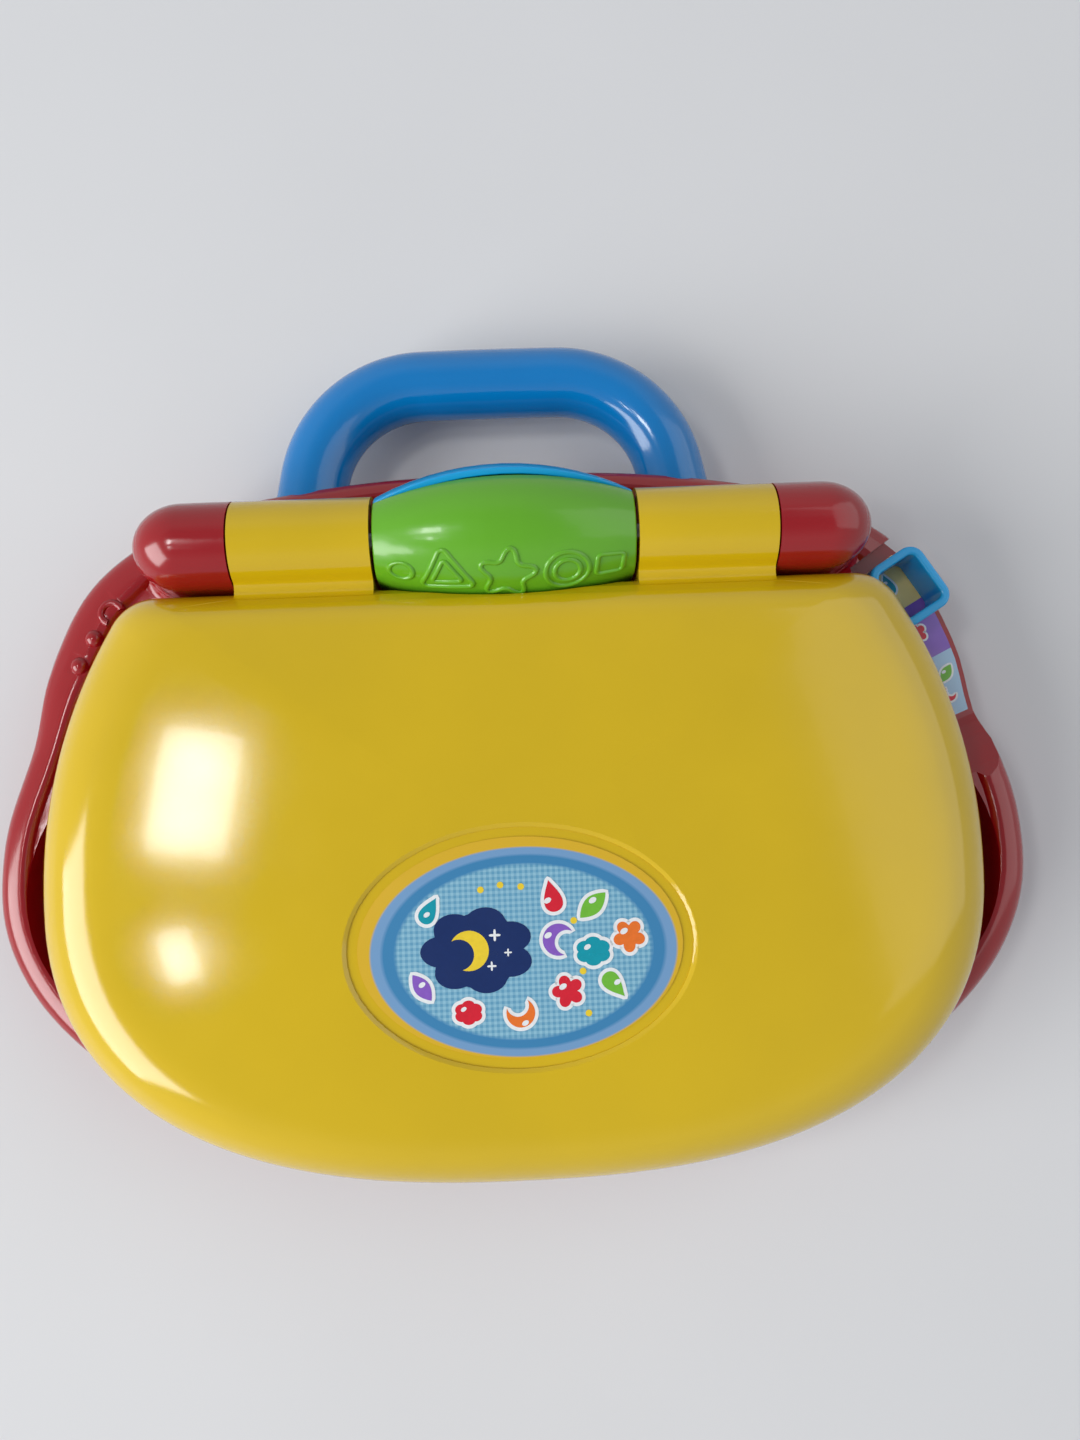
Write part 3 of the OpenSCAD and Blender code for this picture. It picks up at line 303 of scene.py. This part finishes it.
def soft_edges(piece, width):
    """Rounds the hard edges of a piece by a width in millimetres, after its flat faces are made whole."""
    flat = piece.modifiers.new("whole_faces", "DECIMATE")
    flat.decimate_type, flat.angle_limit = "DISSOLVE", FLAT
    edge = piece.modifiers.new("soft_edges", "BEVEL")
    edge.width, edge.segments, edge.angle_limit = width * MM, EDGE_STEPS, HARD
    edge.use_clamp_overlap = False


# Radius of the rounded edges of the pieces that show them, in millimetres.
EDGE_RADIUS = {
    "mode_knob": 0.7, "power_knob": 0.5, "hinge_cover_front": 0.4, "hinge_cover_rear": 0.4,
    "keyboard_plate": 0.35, "lid_panel": 0.4, "battery_door": 0.3,
}
keys = [name for name in nodes if name.startswith("key_")]
EDGE_RADIUS |= dict.fromkeys(keys, 0.75)
smoothing = welded_smooth()
for name, piece in nodes.items():
    piece.data.materials.clear()
    piece.data.materials.append(finishes[slots[name]])
    piece.modifiers.new("weld", "NODES").node_group = smoothing
    if name in EDGE_RADIUS:
        soft_edges(piece, EDGE_RADIUS[name])
    weighted_normals(piece)


def add(name, data):
    """A new object in the scene."""
    made = bpy.data.objects.new(name, data)
    bpy.context.scene.collection.objects.link(made)
    return made


def place(name, mesh, body, slot_name, *materials):
    """A new piece with its mesh, its materials and the body it rides on; its material slot name is not used.
    """
    piece = add(name, mesh)
    for material in materials:
        mesh.materials.append(material)
    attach(piece, body)
    return piece


def smooth(mesh, angle=SHARP):
    """Rounds the shading of a mesh wherever its faces meet at less than an angle."""
    mesh.polygons.foreach_set("use_smooth", [True] * len(mesh.polygons))
    mesh.set_sharp_from_angle(angle=angle)


# ---------- finer copies of the faceted shells ----------

CUTS = 3
# The points that cut up a triangle with CUTS steps along each side, by how many steps each corner gives.
LATTICE = [(i, j, CUTS - i - j) for i in range(CUTS + 1) for j in range(CUTS + 1 - i)]


def small_triangles():
    """The triangles between the lattice points, as places in the lattice."""
    spot = {steps: k for k, steps in enumerate(LATTICE)}
    made = []
    for i, j, k in LATTICE:
        if k > 0:
            made.append([spot[i, j, k], spot[i + 1, j, k - 1], spot[i, j + 1, k - 1]])
            if i > 0:
                made.append([spot[i, j, k], spot[i, j + 1, k - 1], spot[i - 1, j + 1, k]])
    return made


def welded_triangles(name, sharp):
    """A node's points, its triangles, and the pairs of triangle corners that meet smoothly."""
    work = bmesh.new()
    work.from_mesh(nodes[name].data)
    bmesh.ops.remove_doubles(work, verts=work.verts, dist=WELD)
    bmesh.ops.dissolve_degenerate(work, edges=work.edges, dist=WELD)
    bmesh.ops.triangulate(work, faces=work.faces)
    work.verts.index_update()
    work.faces.index_update()
    points = np.array([vertex.co[:] for vertex in work.verts])
    faces = np.array([[vertex.index for vertex in face.verts] for face in work.faces])
    pairs = []
    for edge in work.edges:
        if len(edge.link_faces) == 2 and edge.calc_face_angle(math.pi) < sharp:
            for vertex in edge.verts:
                pairs.append([3 * face.index + list(face.verts).index(vertex) for face in edge.link_faces])
    work.free()
    return points, faces, pairs


def joined_corners(count, pairs):
    """For each of so many corners, the one that stands for all that the pairs join it to."""
    parent = list(range(count))

    def root(k):
        while parent[k] != k:
            parent[k] = parent[parent[k]]
            k = parent[k]
        return k

    for first, second in pairs:
        parent[root(first)] = root(second)
    return np.array([root(k) for k in range(count)])


def corner_normals(corner, pairs):
    """The normal at each triangle corner, averaged by area over the corners that it is joined to."""
    area = np.cross(corner[:, 1] - corner[:, 0], corner[:, 2] - corner[:, 0])
    groups = joined_corners(3 * len(corner), pairs)
    total = np.zeros((3 * len(corner), 3))
    np.add.at(total, groups, np.repeat(area, 3, axis=0))
    normals = total[groups]
    normals /= np.maximum(np.linalg.norm(normals, axis=1, keepdims=True), TINY)
    return normals.reshape(-1, 3, 3)


def bulged(corner, normals):
    """The lattice points of each triangle where they lie flat, and how each moves to follow the normals."""
    weights = np.array(LATTICE) / CUTS
    flat = np.einsum("lc,fcx->flx", weights, corner)
    offset = flat[:, :, None, :] - corner[:, None, :, :]
    lift = np.einsum("flcx,fcx->flc", offset, normals)
    bulge = -0.5 * np.einsum("flc,lc,fcx->flx", lift, weights, normals)
    size = np.linalg.norm(bulge, axis=2, keepdims=True)
    return flat, bulge * np.minimum(1.0, MAX_BULGE / np.maximum(size, TINY))


def stitched(faces, flat, bulge):
    """The points of all triangles in one list, and the places in it of each triangle's lattice.

    Neighbours share the points along their common edge, with the larger of their two bulges.
    """
    place_of, made, places = {}, [], np.empty(flat.shape[:2], int)
    for f, face in enumerate(faces):
        for k, steps in enumerate(LATTICE):
            used = [(int(face[c]), steps[c]) for c in range(3) if steps[c]]
            key = tuple(sorted(used)) if len(used) < 3 else (f, k, "inside")
            found = places[f, k] = place_of.setdefault(key, len(made))
            if found == len(made):
                made.append([flat[f, k], bulge[f, k]])
            elif np.dot(bulge[f, k], bulge[f, k]) > np.dot(made[found][1], made[found][1]):
                made[found][1] = bulge[f, k]
    return [point + rise for point, rise in made], places


def rounded_copy(name, sharp=SHARP):
    """Replaces a faceted node by a finer copy, with its faces cut up and bulged to follow its normals."""
    points, faces, pairs = welded_triangles(name, sharp)
    corner = points[faces]
    made, places = stitched(faces, *bulged(corner, corner_normals(corner, pairs)))
    mesh = bpy.data.meshes.new(name + "_rounded")
    inside = np.clip(made, *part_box(name))
    mesh.from_pydata(inside, [], np.concatenate([places[:, t] for t in small_triangles()]).tolist())
    smooth(mesh, sharp)
    piece = place(name + "_rounded", mesh, body_of_node[name], slots[name], finishes[slots[name]])
    weighted_normals(piece)
    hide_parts(name)


rounded_copy("lid_cover", LID_SHARP)
for name in ("base_top", "base_bottom", "handle"):
    rounded_copy(name)

# ---------- flat shapes for prints and reliefs, as outlines of about unit radius ----------


def ring(count, radius_at):
    """Points round a circle, at radius_at(angle)."""
    angles = [2 * math.pi * k / count for k in range(count)]
    return [(radius_at(a) * math.cos(a), radius_at(a) * math.sin(a)) for a in angles]


def circle(count):
    return ring(count, lambda a: 1.0)


def scallops(lobes, depth, count=72):
    """A ring of round lobes, as of a flower or a cloud."""
    return ring(count, lambda a: 1 - depth + depth * abs(math.sin(lobes * a / 2)) ** 0.8)


def drop(count=40):
    """A water drop with its point on top."""
    angles = [2 * math.pi * k / count for k in range(count)]
    return [(0.85 * math.sin(a) * math.sin(a / 2) ** 1.4, 1.05 * math.cos(a)) for a in angles]


def leaf(count=20):
    """Two arcs that meet in points, with the stem end lower."""
    side = [(0.55 * math.sin(math.pi * k / count) ** 0.9, 1.1 - 2.2 * k / count) for k in range(count + 1)]
    return side + [(-x, y) for x, y in reversed(side[1:-1])]


def crescent(count=28, bite=0.55):
    """A moon: a round back, and the arc that a circle centred at (bite, 0) takes out of it."""
    angles = [math.radians(50 + 260 * k / count) for k in range(count + 1)]
    outer = [(math.cos(a), math.sin(a)) for a in angles]
    reach, half = outer[0][0] - bite, outer[0][1]
    radius, sweep = math.hypot(reach, half), math.atan2(half, reach)
    inner = [
        (bite + radius * math.cos(a), radius * math.sin(a))
        for a in (-sweep - (2 * math.pi - 2 * sweep) * k / count for k in range(1, count))
    ]
    return outer + inner


def polygon(corners, roundness=0.18, steps=5):
    """A regular polygon with rounded corners, one of them on top."""
    made = []
    for k in range(corners):
        middle = math.radians(90 + 360 * k / corners)
        at = ((1 - roundness) * math.cos(middle), (1 - roundness) * math.sin(middle))
        for j in range(-steps, steps + 1):
            a = middle + math.pi / corners * j / steps
            made.append((at[0] + roundness * math.cos(a), at[1] + roundness * math.sin(a)))
    return made


def star(points, inner, steps=10):
    """A star with blunt points, whose hollows lie at the inner radius."""
    made = []
    for k in range(points * steps):
        a = 2 * math.pi * k / (points * steps)
        wave = 0.5 + 0.5 * math.cos(points * a)
        r = inner + (1 - inner) * wave ** 1.5
        made.append((r * math.sin(a), r * math.cos(a)))
    return made


def grown(outline, by):
    """The outline moved outwards by a distance."""
    following = outline[1:] + outline[:1]
    area = sum(x * next_y - next_x * y for (x, y), (next_x, next_y) in zip(outline, following))
    way = 1 if area > 0 else -1
    made = []
    for k, (x, y) in enumerate(outline):
        before, after = outline[k - 1], following[k]
        dx, dy = after[0] - before[0], after[1] - before[1]
        size = math.hypot(dx, dy) or 1.0
        made.append((x + way * by * dy / size, y - way * by * dx / size))
    return made


def moved(outline, at, size, turn=0.0, stretch=1.0):
    """The outline stretched along X, scaled, turned by degrees and moved to a place."""
    cosine, sine = math.cos(math.radians(turn)), math.sin(math.radians(turn))
    turned = [(stretch * x * cosine - y * sine, stretch * x * sine + y * cosine) for x, y in outline]
    return [(at[0] + size * x, at[1] + size * y) for x, y in turned]


def surface_of(name):
    """A function that finds where a ray, in millimetres, first meets a CAD node at rest."""
    mesh = nodes[name].data
    corners, faces = [v.co / MM for v in mesh.vertices], [p.vertices[:] for p in mesh.polygons]
    tree = BVHTree.FromPolygons(corners, faces)
    return lambda start, along: tree.ray_cast(Vector(start), Vector(along))[0]


class Print:
    """Flat inks laid on a surface in layers, as one fine mesh that follows it."""

    LAYER = 0.035  # height of one ink over the one below
    STEP = 1.4  # longest edge of the mesh

    def __init__(self, surface):
        self.surface, self.work, self.materials = surface, bmesh.new(), []

    def ink(self, outline, material, layer=0):
        if material not in self.materials:
            self.materials.append(material)
        corners = [self.work.verts.new((x, y, self.LAYER * (layer + 1))) for x, y in outline]
        face = self.work.faces.new(corners)
        face.material_index = self.materials.index(material)

    def band(self, inner, outer, material):
        """Ink between two outlines with the same number of points."""
        for k in range(len(inner)):
            self.ink([inner[k - 1], inner[k], outer[k], outer[k - 1]], material)

    def motif(self, shape, material, at, size, turn, stretch, shine, edge):
        """A figure with a white edge and a spot of shine, which is shine times its size from the middle."""
        outline = moved(shape, at, size, turn, stretch)
        self.ink(grown(outline, edge), INK["white"], 1)
        self.ink(outline, material, 2)
        spot = (at[0] + shine[0] * size, at[1] + shine[1] * size)
        self.ink(moved(circle(16), spot, 0.17 * size, 30, 1.5), INK["white"], 3)

    def finish(self, name, body, slot_name):
        work = self.work
        work.normal_update()
        bmesh.ops.reverse_faces(work, faces=[face for face in work.faces if face.normal.z < 0])
        bmesh.ops.triangulate(work, faces=work.faces)
        while long_edges := [edge for edge in work.edges if edge.calc_length() > self.STEP]:
            bmesh.ops.subdivide_edges(work, edges=long_edges, cuts=1)
            bmesh.ops.triangulate(work, faces=work.faces)
        for vertex in work.verts:
            vertex.co = Vector(self.surface(*vertex.co)) * MM
        mesh = bpy.data.meshes.new(name)
        work.to_mesh(mesh)
        work.free()
        smooth(mesh)
        place(name, mesh, body, slot_name, *self.materials)


def printing_ink(name, color):
    """Printing ink with a faint dot pattern."""
    look = Shader("ink_" + name)
    look.set("Base Color", look.mix(look.patches(900), shade(color, 0.95), shade(color, 1.04)))
    look.set("Roughness", look.ramp(look.noise(70, 4), 0.35, 0.7, 0.2, 0.3))
    return look.material


INK = {
    name: printing_ink(name, color)
    for name, color in {
        "white": (0.80, 0.82, 0.82), "red": (0.66, 0.012, 0.03), "green": (0.16, 0.48, 0.04),
        "violet": (0.24, 0.10, 0.50), "orange": (0.80, 0.17, 0.02), "teal": (0.0, 0.30, 0.38),
        "navy": (0.004, 0.022, 0.115), "yellow": (0.83, 0.60, 0.03), "sky": (0.36, 0.62, 0.80),
        "segment": (0.05, 0.065, 0.05),
    }.items()
}
DROP, LEAF, FLOWER, CRESCENT, BUN, CLOUD = (
    drop(), leaf(), scallops(5, 0.42), crescent(), scallops(6, 0.16), scallops(7, 0.2),
)

# ---------- the sticker in the lid's oval recess ----------

label_surface = surface_of("lid_label")


def on_label(x, y, lift):
    at = (PRINT_CENTRE[0] + x, PRINT_CENTRE[1] + y)
    return label_surface((*at, ABOVE), (0, 0, -1)) + Vector((0, 0, lift))


CHECK = 0.7  # the width of a gingham stripe and of the gap beside it, in millimetres
GINGHAM = ((0.12, 0.33, 0.49), (0.27, 0.51, 0.63))
# Each ring from the inside out: where it starts, as a share of the label, its soft edge and its colour.
LABEL_RINGS = (
    (0.80, 0.03, (0.045, 0.22, 0.43)),
    (0.885, 0.025, (0.17, 0.33, 0.55)),
    (0.95, 0.015, (0.68, 0.42, 0.02)),
)


def label_material():
    """A blue gingham field inside two plain blue rings and an orange one."""
    look = Shader("label_print")
    squares, stripes = [], []
    for part, middle, half in zip(look.axes(look.position()), PRINT_CENTRE, LABEL_HALF):
        share = look.math("DIVIDE", look.math("SUBTRACT", part, middle * MM), half * MM)
        squares.append(look.math("MULTIPLY", share, share))
        stripes.append(look.math("LESS_THAN", look.math("PINGPONG", part, CHECK * MM), CHECK / 2 * MM))
    radius = look.math("SQRT", look.math("ADD", *squares))
    color = look.mix(look.math("MULTIPLY", look.math("ADD", *stripes), 0.5), *GINGHAM)
    for start, soft, ring_color in LABEL_RINGS:
        color = look.mix(look.ramp(radius, start - soft, start, 0, 1), color, ring_color)
    look.set("Base Color", color)
    look.set("Roughness", look.ramp(look.noise(50, 4), 0.35, 0.7, 0.16, 0.26))
    look.set("Normal", look.bump(look.noise(30, 2), 0.05 * MM, 0.3))
    return look.material


nodes["lid_label"].data.materials[0] = label_material()

label = Print(on_label)
# A dark cloud with a moon and three stars.
NIGHT_AT, NIGHT_HALF = (-11.6, 0.6), (14.4, 10.8)
night = moved(CLOUD, NIGHT_AT, NIGHT_HALF[1], 0, NIGHT_HALF[0] / NIGHT_HALF[1])
label.ink(night, INK["navy"], 1)
label.ink(moved(CRESCENT, (NIGHT_AT[0] - 2.2, NIGHT_AT[1]), 5.0, 200), INK["yellow"], 2)
for across, up, size in ((4.4, 3.6, 1.5), (7.6, -0.8, 1.0), (3.4, -4.0, 1.2)):
    label.ink(moved(star(4, 0.3), (NIGHT_AT[0] + across, NIGHT_AT[1] + up), size), INK["white"], 2)
# Each motif: outline, ink, place, size, turn, stretch, and where its shine lies.
MOTIFS = (
    (DROP, "red", (7.6, 13.4), 3.9, 12, 1.0, (-0.3, -0.3)),
    (LEAF, "green", (17.8, 10.6), 4.1, -48, 1.0, (0.0, 0.3)),
    (FLOWER, "orange", (26.6, 2.6), 4.1, 18, 1.0, (-0.3, 0.3)),
    (CRESCENT, "violet", (8.8, 2.4), 4.0, -20, 1.0, (-0.65, 0.3)),
    (BUN, "teal", (17.4, -0.8), 3.6, 0, 1.25, (-0.4, 0.3)),
    (DROP, "green", (22.4, -9.4), 3.6, -140, 1.0, (0.2, 0.2)),
    (FLOWER, "red", (10.6, -10.4), 4.0, 0, 1.0, (-0.3, 0.3)),
    (CRESCENT, "orange", (-1.4, -15.2), 3.6, 110, 1.0, (0.3, -0.7)),
    (BUN, "red", (-14.4, -14.6), 3.0, 0, 1.2, (-0.4, 0.3)),
    (LEAF, "violet", (-25.8, -8.0), 3.6, 35, 1.0, (0.0, 0.2)),
    (DROP, "teal", (-23.4, 11.0), 3.4, -30, 1.0, (-0.2, -0.3)),
)
for shape, color, at, size, turn, stretch, shine in MOTIFS:
    label.motif(shape, INK[color], at, size, turn, stretch, shine, 0.9)
for at in ((-10.4, 15.6), (-5.4, 16.6), (-0.2, 16.0), (15.6, -16.0), (12.8, 7.0), (14.6, -5.6)):
    label.ink(moved(circle(16), at, 0.85), INK["yellow"], 1)
label.finish("lid_label_motifs", "lid", "lid_print")

# ---------- the picture strip under the mode knob ----------

# The strip's fields of colour, and where each after the first starts, in degrees round the track's centre.
FIRST_FIELD, WORN = (0.38, 0.58, 0.76), (0.8, 0.8, 0.8)
FIELDS = ((25.7, (0.24, 0.11, 0.50)), (29.9, (0.92, 0.70, 0.26)))


def strip_material():
    """Three plain fields in a row along the track: pale blue, violet and yellow."""
    look = Shader("strip_print")
    parts = zip(look.axes(look.position()), TRACK_CENTRE)
    x, y = (look.math("SUBTRACT", part, middle * MM) for part, middle in parts)
    angle, color = look.math("ARCTAN2", y, x), FIRST_FIELD
    for start, after in FIELDS:
        color = look.mix(look.math("GREATER_THAN", angle, math.radians(start)), color, after)
    look.set("Base Color", look.mix(look.patches(40, 3, 0.12), color, WORN))
    look.set("Roughness", look.ramp(look.noise(70, 4), 0.35, 0.7, 0.22, 0.32))
    return look.material


nodes["mode_label"].data.materials[0] = strip_material()


def level(height):
    """A flat surface at a height."""
    return lambda x, y, lift: (x, y, height + lift)


strip = Print(level(STRIP_TOP))
for shape, color, angle, radius, size, turn in (
    (DROP, "teal", 32.0, 231.5, 3.2, 20), (FLOWER, "red", 27.8, 230.5, 3.0, 10),
    (LEAF, "green", 24.2, 232.0, 2.8, -30), (CRESCENT, "red", 22.7, 229.8, 2.0, 60),
):
    turned = math.radians(angle)
    at = (TRACK_CENTRE[0] + radius * math.cos(turned), TRACK_CENTRE[1] + radius * math.sin(turned))
    strip.motif(shape, INK[color], at, size, turn, 1.0, (-0.25, 0.15), 0.6)
strip.finish("mode_strip_motifs", "base", "mode_print")

# ---------- prints that show when the lid is open ----------

plate_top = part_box("keyboard_plate")[1][2] / MM
halos = Print(level(plate_top))
HALO_GAP, HALO_WIDTH = 0.9, 1.1
for name in keys:
    above = np.array([v.co[:2] for v in nodes[name].data.vertices if v.co.z > plate_top * MM]) / MM
    middle = (above.min(axis=0) + above.max(axis=0)) / 2
    reach = np.linalg.norm(above - middle, axis=1).max() + HALO_GAP
    halos.band(moved(circle(60), middle, reach), moved(circle(60), middle, reach + HALO_WIDTH), INK["sky"])
halos.finish("key_halos", "base", "mode_print")

# The lid lies closed here, so the display faces down and the top of its picture is towards the front.
low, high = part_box("display")
display_face, display_middle = low[2] / MM, (low[1] + high[1]) / 2 / MM
segments = Print(lambda x, y, lift: (x, y, display_face - lift / 2))
SUN, PUFF = scallops(12, 0.3), scallops(7, 0.25)
for shape, across, up, size, turn, stretch in (
    (SUN, -34.0, 12.0, 9.5, 0, 1.0), (PUFF, 8.0, 16.0, 7.0, 0, 1.9), (PUFF, 38.0, 9.0, 5.0, 0, 1.8),
    (FLOWER, -40.0, -20.0, 6.0, 0, 1.0), (LEAF, -26.0, -21.0, 5.5, 30, 1.0),
    (FLOWER, -8.0, -20.0, 6.0, 20, 1.0), (LEAF, 8.0, -21.0, 5.5, -30, 1.0),
    (FLOWER, 24.0, -20.0, 6.0, 40, 1.0), (LEAF, 40.0, -21.0, 5.5, 30, 1.0),
):
    segments.ink(moved(shape, (across, display_middle - up), size, turn, stretch), INK["segment"])
segments.finish("display_segments", "lid", "display_glass")

# ---------- the moulded relief along the green hinge cover ----------

cover_surface = surface_of("hinge_cover_front")


def on_crown(x, arc, lift):
    """A point of the cover: x along the hinge, arc upwards from its front, in millimetres."""
    a = arc / COVER_R
    out = Vector((0, -math.cos(a), math.sin(a)))
    axis = Vector((x, HINGE_Y, HINGE_Z))
    return cover_surface(axis + ABOVE * out, -out) + lift * out


def even(outline, step):
    """The closed outline with points no further apart than a step."""
    made = []
    for (x, y), (next_x, next_y) in zip(outline, outline[1:] + outline[:1]):
        parts = math.ceil(math.hypot(next_x - x, next_y - y) / step)
        made += [(x + (next_x - x) * k / parts, y + (next_y - y) * k / parts) for k in range(parts)]
    return made


class Relief:
    """Raised lines on a surface, each with a rounded section, as one mesh."""

    HALF_WIDTH, HEIGHT = 0.8, 0.55
    SECTION = (  # across and up, as shares of the half width and the height
        (-1.0, -0.15), (-0.8, 0.45), (-0.45, 0.85), (0.0, 1.0), (0.45, 0.85), (0.8, 0.45), (1.0, -0.15),
    )
    SHARP = math.radians(60)

    def __init__(self, surface):
        self.surface, self.verts, self.faces = surface, [], []

    def line(self, outline):
        outline = even(outline, self.HALF_WIDTH)
        across = [grown(outline, self.HALF_WIDTH * w) for w, h in self.SECTION]
        start, steps, count = len(self.verts), len(self.SECTION), len(outline)
        for k in range(count):
            for (w, h), row in zip(self.SECTION, across):
                self.verts.append(self.surface(*row[k], self.HEIGHT * h))
        for k in range(count):
            here, there = start + k * steps, start + (k + 1) % count * steps
            for j in range(steps - 1):
                self.faces.append((here + j, here + j + 1, there + j + 1, there + j))

    def finish(self, name, body, slot_name):
        mesh = bpy.data.meshes.new(name)
        mesh.from_pydata([tuple(MM * c for c in v) for v in self.verts], [], self.faces)
        smooth(mesh, self.SHARP)
        work = bmesh.new()
        work.from_mesh(mesh)
        bmesh.ops.recalc_face_normals(work, faces=work.faces)
        work.to_mesh(mesh)
        work.free()
        place(name, mesh, body, slot_name, finishes[slot_name])


ROW_ARC = 12.4
relief = Relief(on_crown)
for shape, across, size, turn in (
    (circle(40), -28.0, 3.2, 0), (polygon(3), -16.0, 7.6, 6), (polygon(3), -16.0, 4.2, 6),
    (star(5, 0.6), 0.4, 7.8, -8), (circle(40), 16.4, 5.9, 0), (circle(40), 16.4, 3.5, 0),
    (polygon(4, 0.3), 28.0, 4.6, 40),
):
    relief.line(moved(shape, (across, ROW_ARC), size, turn))
relief.finish("hinge_cover_relief", "base", "green_plastic")

# ---------- floor, light and camera ----------

PAINT = ((0.67, 0.67, 0.67), (0.71, 0.71, 0.71))
BACKDROP = (0.65, 0.655, 0.67)
SKY, SKY_STRENGTH = (0.85, 0.9, 1.0), 0.36
FLOOR_HALF = 3.0
FLOOR_FADE = (0.3, 0.9)  # the distances between which the floor turns into the backdrop
WALL_TOP = (0.7, 0.95)  # the sines of the heights between which the backdrop turns into the sky


def floor_material():
    """Pale paint near the part, which turns into the backdrop's even tone further out."""
    look = Shader("floor_paint")
    look.set("Base Color", look.mix(look.patches(3, 5), *PAINT))
    look.set("Roughness", 0.75)
    reach = look.node("ShaderNodeVectorMath", operation="LENGTH")
    look.link(look.position(), reach.inputs[0])
    tone = look.node("ShaderNodeEmission")
    look.feed(BACKDROP, tone.inputs["Color"])
    far = look.math("MULTIPLY", look.ramp(reach.outputs["Value"], *FLOOR_FADE, 0, 1), look.seen())
    look.blend(far, look.shader.outputs[0], tone.outputs[0], "Material Output")
    return look.material


floor_mesh = bpy.data.meshes.new("floor")
floor_corners = [(FLOOR_HALF * x, FLOOR_HALF * y, 0) for x, y in ((-1, -1), (1, -1), (1, 1), (-1, 1))]
floor_mesh.from_pydata(floor_corners, [], [range(4)])
floor_mesh.materials.append(floor_material())
floor = add("floor", floor_mesh)

PART_MIDDLE = Vector((0, 0, 0.03))


def soft_box(name, spot, width, height, power):
    """A rectangular light that faces the part."""
    light = bpy.data.lights.new(name, "AREA")
    light.shape = "RECTANGLE"
    light.size, light.size_y, light.energy = width, height, power
    made = add(name, light)
    made.location = spot
    made.rotation_euler = (PART_MIDDLE - made.location).to_track_quat("-Z", "Y").to_euler()


soft_box("window_light", (-0.53, 0.09, 1.12), 0.20, 0.135, 1.6)
soft_box("low_window_light", (-0.54, -0.18, 1.10), 0.10, 0.06, 0.4)
soft_box("key_light", (-2.2, -0.8, 1.3), 2.0, 1.6, 68)
soft_box("fill_light", (1.5, 0.4, 1.3), 2.0, 2.0, 10)

world = bpy.data.worlds.new("studio")
bpy.context.scene.world = world
world.use_nodes = True
studio = Nodes(world.node_tree)
sky, wall = world.node_tree.nodes["Background"], studio.node("ShaderNodeBackground")
studio.feed(SKY, sky.inputs["Color"])
studio.feed(SKY_STRENGTH, sky.inputs["Strength"])
studio.feed(BACKDROP, wall.inputs["Color"])
height = studio.axes(studio.node("ShaderNodeTexCoord").outputs["Generated"])["Z"]
share = studio.math("MULTIPLY", studio.ramp(height, *WALL_TOP, 1, 0), studio.seen())
studio.blend(share, sky.outputs[0], wall.outputs[0], "World Output")

# The camera was fitted to the toy's symmetry: its place in millimetres, its turn in degrees, and its focal
# length in pixels of a picture whose long side has LONG_SIDE_PX.
CAMERA_AT = (0.9, -36.8, 336.0)
CAMERA_TURN = (7.34, -1.01, -2.41)
LONG_SIDE_PX = 1440
FOCAL_PX = 1082
camera_data = bpy.data.cameras.new("camera")
camera_data.sensor_width = 36
camera_data.lens = camera_data.sensor_width * FOCAL_PX / LONG_SIDE_PX
camera_data.clip_start = 0.01
camera = add("camera", camera_data)
camera.location = Vector(CAMERA_AT) * MM
camera.rotation_euler = [math.radians(angle) for angle in CAMERA_TURN]
bpy.context.scene.camera = camera
bpy.context.scene.view_settings.view_transform = "Standard"
